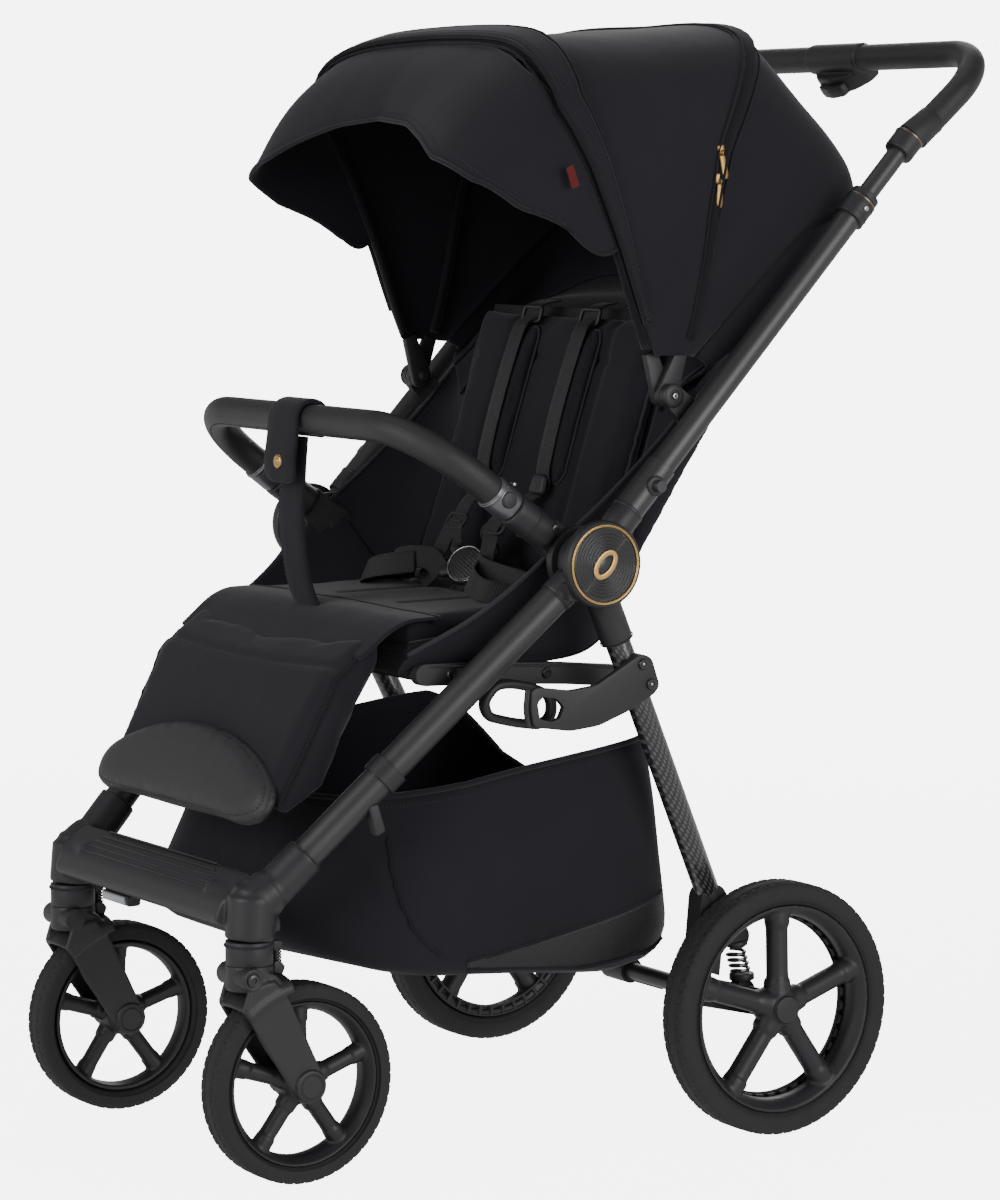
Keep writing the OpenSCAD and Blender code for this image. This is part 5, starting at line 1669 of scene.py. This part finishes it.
HARNESS = ("upper_frame", "backrest", (0, 74, 600), (0, 118, 652))
for s, side in SIDES:
    strap("shoulder_strap_" + side,
          [on_buckle(22 * s, 22), (34 * s, 66, 622), (46 * s, 88, 646), back_point(56 * s, 106, 30),
                                     back_point(59 * s, 130, 37), back_point(59 * s, 200, 40),
                                     back_point(59 * s, 276, 37),
                                     back_point(57 * s, 292, 27), back_point(55 * s, 308, 22),
                                     back_point(54 * s, 318, 4)],
          HARNESS)
    strap("shoulder_tail_" + side,
          [(36 * s, 70, 628), (43 * s, 60, 612), (47 * s, 52, 592), (52 * s, 46, 572), (60 * s, 38, 560)],
          "upper_frame", 22, 1.5, side=(1, 0.2, 0))
    strap("waist_strap_" + side,
          [on_buckle(31 * s, -8), (48 * s, 40, 588), (84 * s, 26, 586), (122 * s, 40, 578),
           (152 * s, 72, 568),
                                  (166 * s, 96, 566)], "upper_frame", 25, 1.6, side=(0, 0.35, 1))
    strap("waist_loop_" + side,
          [(60 * s, 30, 584), (92 * s, 4, 578), (118 * s, 2, 570), (146 * s, 34, 562), (168 * s, 80, 560)],
          "upper_frame", 25, 1.6, side=(0, 0.5, 1))
    frame_line = pts([(40 * s + u, 70 + 0.55 * v, 627 + 0.8 * v) for u,
                      v in rounded([(-16, -9), (16, -9), (16, 9), (-16, 9)], 5, 5)])
    place(sweep("strap_adjuster_" + side, frame_line, circle_section(0.0023, 8), closed=True), "upper_frame",
          "plastic")
    place(rod("strap_bar_" + side, (26 * s, 68.5, 627), (54 * s, 71.5, 627), 1.8, 1.8, 12, 0.4),
          "upper_frame", "plastic")
    height_line = pts([back_point(56 * s + u, 296 + v, 27) for u,
                       v in rounded([(-17, -8), (17, -8), (17, 8), (-17, 8)], 4, 5)])
    place(sweep("height_buckle_" + side, height_line, circle_section(0.0022, 8), closed=True), "backrest",
          "plastic")
    pad_clip = dome("strap_clip_" + side, rounded([(-14, -10), (14, -10), (11, 12), (-11, 12)], 5, 4), 6, 1,
                    0.2)
    oriented(pad_clip, pts(back_point(58 * s, 108, 33))[0], (1, 0, 0), UP_BACK)
    place(pad_clip, "backrest", "plastic", auto=40)
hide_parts("harness_straps")
strap("crotch_strap", [(0, 40, 552), (0, 44, 556), (0, 56, 566), on_buckle(0, -20)], "upper_frame", 28, 1.8)

# ------------------------------------------------------------------ handle, tubes and rear frame details
GRIP_START, GRIP_ANGLE, GRIP_REACH = (442, 1034), 40, 140


def on_grip(x, y, z):
    c, s = polar((0, 0), 1, GRIP_ANGLE)
    return (x, GRIP_START[0] + y * c - z * s, GRIP_START[1] + y * s + z * c)


grip_line = [on_grip(-TUBE_X, y, -14.7) for y in (6, 40, 70)]
grip_line += [on_grip(-200 - 70 * math.cos(a), 70 + 70 * math.sin(a), -14.7)
              for a in np.linspace(0.1, math.pi / 2, 12)]
grip_line += [on_grip(200 - 70 * math.cos(a), 70 + 70 * math.sin(a), -14.7)
              for a in np.linspace(math.pi / 2, math.pi - 0.1, 12)]
grip_line += [on_grip(TUBE_X, y, -14.7) for y in (70, 40, 6)]
stitches("handle_stitches", even(pts(grip_line), 300), "handle", pitch=4.0, length=2.7, r=0.5)
place(sweep("handle_seam", even(pts(grip_line), 200), circle_section(0.0006, 6)), "handle", "leather")
along_grip = (0, math.cos(math.radians(GRIP_ANGLE)), math.sin(math.radians(GRIP_ANGLE)))
cheek = dome("cheek",
             rounded([(-45, 13), (45, 13), (44, -3), (28, -19), (0, -25), (-28, -19), (-44, -3)], 5, 5), 20,
             1, 0.04)
oriented(cheek, pts(on_grip(0, 136, -8))[0], (-1, 0, 0), along_grip)
housing = [cheek, rod("wrap", on_grip(-45, GRIP_REACH, 0), on_grip(45, GRIP_REACH, 0), 16.8, 16.8, 48, 1.5)]
place(fused("release_moulding", housing, 1.5, 5, 0.5), "handle", "plastic", ["release_housing"])
lever = dome("release_lever", rounded([(-21.5, 9), (21.5, 9), (20, -6), (0, -10), (-20, -6)], 4, 5), 13, 1,
             0.08)
oriented(lever, pts(on_grip(0, 114, -15))[0], (-1, 0, 0), along_grip)
place(lever, "release_trigger", "plastic", ["release_trigger"], auto=40)
for s, side in SIDES:
    for name, d, r, wide in (("low", 470, 16.8, 1.0), ("mid", 476, 16.9, 0.8), ("top", 489, 16.9, 1.0)):
        p = np.array([TUBE_X * s, *polar(HUB, d, TUBE_ANGLE)])
        place(rod(f"collar_{name}_{side}", p - up_dir * wide, p + up_dir * wide, r, r, 48, 0.4),
              "upper_frame", "plastic", auto=40)
    p = np.array([TUBE_X * s, *polar(HUB, 562, TUBE_ANGLE)])
    place(rod(f"handle_clamp_{side}", p, p + up_dir * 8, 15.2, 16.2, 48, 0.8), "handle", "plastic", auto=40)
    for name, d, r, body in (("upper_band_", 491.5, 16.6, "upper_frame"),
                             ("handle_band_", 582, 16.5, "handle")):
        p = np.array([TUBE_X * s, *polar(HUB, d, TUBE_ANGLE)])
        place(rod(name + side, p, p + up_dir * 2.6, r, r, 48, 0.6), body, "bronze", auto=40)
    place(rod("grip_end_" + side, np.array([TUBE_X * s, *polar(HUB, 584, TUBE_ANGLE)]),
              on_grip(TUBE_X * s, 30, 0), 16.2, 15.0, 48, 1.6),
          "handle", "leather", auto=40)
    pin_at = np.array([TUBE_X * s, *polar(HUB, 484, TUBE_ANGLE)])
    place(rod(f"collar_pin_{side}", pin_at + [15 * s, 0, 0], pin_at + [18.4 * s, 0, 0], 3.0, 3.0, 20, 0.6),
          "upper_frame", "steel", auto=40)
    arm = prism(f"rear_arm_cap_{side}",
                rounded([(224, 146), (250, 160), (262, 152), (268, 128), (246, 124), (214, 138)], 7, 4),
                min(236 * s, 242.2 * s), max(236 * s, 242.2 * s), 1.5)
    place(arm, "rear_arm_" + side, "plastic")
    for name, start, end, r, body in (("low", (240.7, 159), (240.3, 166), 13.2, "rear_arm_" + side),
                                      ("high", (232.1, 201), (232.5, 196), 12.6, "rear_frame")):
        place(rod(f"spring_cup_{name}_{side}", (249 * s, *start), (249 * s, *end), r, r, 32, 1.2), body,
              "plastic", auto=40)
pedal = prism("pedal_shape",
              rounded([(196, 150), (214, 144), (236, 136), (243, 129), (238, 125), (226, 130), (200, 138)], 4,
                      4), 84, 116, 2.5)
place(pedal, "brake_pedal", "plastic")
for i in range(4):
    y, z = mix(214, 236, i / 3), mix(145.4, 136.9, i / 3)
    place(rod(f"pedal_rib_{i}", (88, y, z), (112, y, z), 0.9, 0.9, 8, 0.3), "brake_pedal", "plastic")


# ------------------------------------------------------------------ floor
def stage(name, verts, faces, colour, glow, fade=None):
    """A plain white surface of the studio, which the camera sees but which doesn't light the object."""
    o = new_object(name, verts, faces, smooth=False)
    f = Look(name, 0.9, Specular_IOR_Level=0.1, Emission_Color=(1, 1, 1, 1), Emission_Strength=glow)
    f.finish(f.ramp(f.noise(3, 2), (0.3, (colour - 0.01,)), (0.7, (colour + 0.01,))))
    if fade:
        away = f.add("VectorMath", {0: f.place}, operation="LENGTH").outputs["Value"]
        f.put(f.b.inputs["Alpha"], f.ramp(f.math("MULTIPLY", away, 1 / fade), (0.4, (1.0,)), (0.95, (0.0,))))
    o.data.materials.append(f.m)
    o.visible_diffuse = o.visible_glossy = o.visible_transmission = o.visible_shadow = False
    o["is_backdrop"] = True


ring = np.linspace(0, 2 * math.pi, 97)[:-1]
stage("floor", [(3.2 * math.cos(a), 3.2 * math.sin(a), -0.0005) for a in ring], [tuple(range(96))], 0.8, 5.5,
      3.2)
stage("backdrop", [(12 * math.cos(a) * math.cos(e), 12 * math.sin(a) * math.cos(e), 12 * math.sin(e))
                   for e in np.radians(np.linspace(-88, 88, 23)) for a in ring],
      grid_faces(23, 96, close_columns=True) + [tuple(range(96)), tuple(range(22 * 96, 23 * 96))], 0.0, 6.5)

world = bpy.data.worlds.new("studio")
SCENE.world = world
world.use_nodes = True
sky = world.node_tree.nodes["Background"]
height = world.node_tree.nodes.new("ShaderNodeSeparateXYZ")
direction = world.node_tree.nodes.new("ShaderNodeTexCoord")
tone = world.node_tree.nodes.new("ShaderNodeValToRGB")
world.node_tree.links.new(direction.outputs["Generated"], height.inputs[0])
world.node_tree.links.new(height.outputs[2], tone.inputs[0])
world.node_tree.links.new(tone.outputs[0], sky.inputs[0])
tone.color_ramp.elements[0].position, tone.color_ramp.elements[0].color = 0.08, (0.75, 0.75, 0.75, 1)
tone.color_ramp.elements[1].position, tone.color_ramp.elements[1].color = 0.35, (0.25, 0.25, 0.255, 1)

# ------------------------------------------------------------------ materials of the CAD parts that stay
CAD_LOOKS = {
    "front_legs": "tube", "upper_tubes": "tube", "handle_tubes": "tube", "rear_legs": "carbon",
    "rear_axle": "tube", "handle_grip": "leather", "bumper_bar": "leather",
    "upper_collars": "plastic", "hub_rings": "gold",
    "buckle_button": "gloss", "bumper_button_left": "steel", "bumper_button_right": "steel",
    "rear_spring_left": "spring", "rear_spring_right": "spring", "reflector": "clear",
}
for node_name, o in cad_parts.items():
    look = LOOKS[CAD_LOOKS.get(node_name, "plastic")]
    if o.material_slots:
        for s in o.material_slots:
            s.material = look
    else:
        o.data.materials.append(look)

low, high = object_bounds()
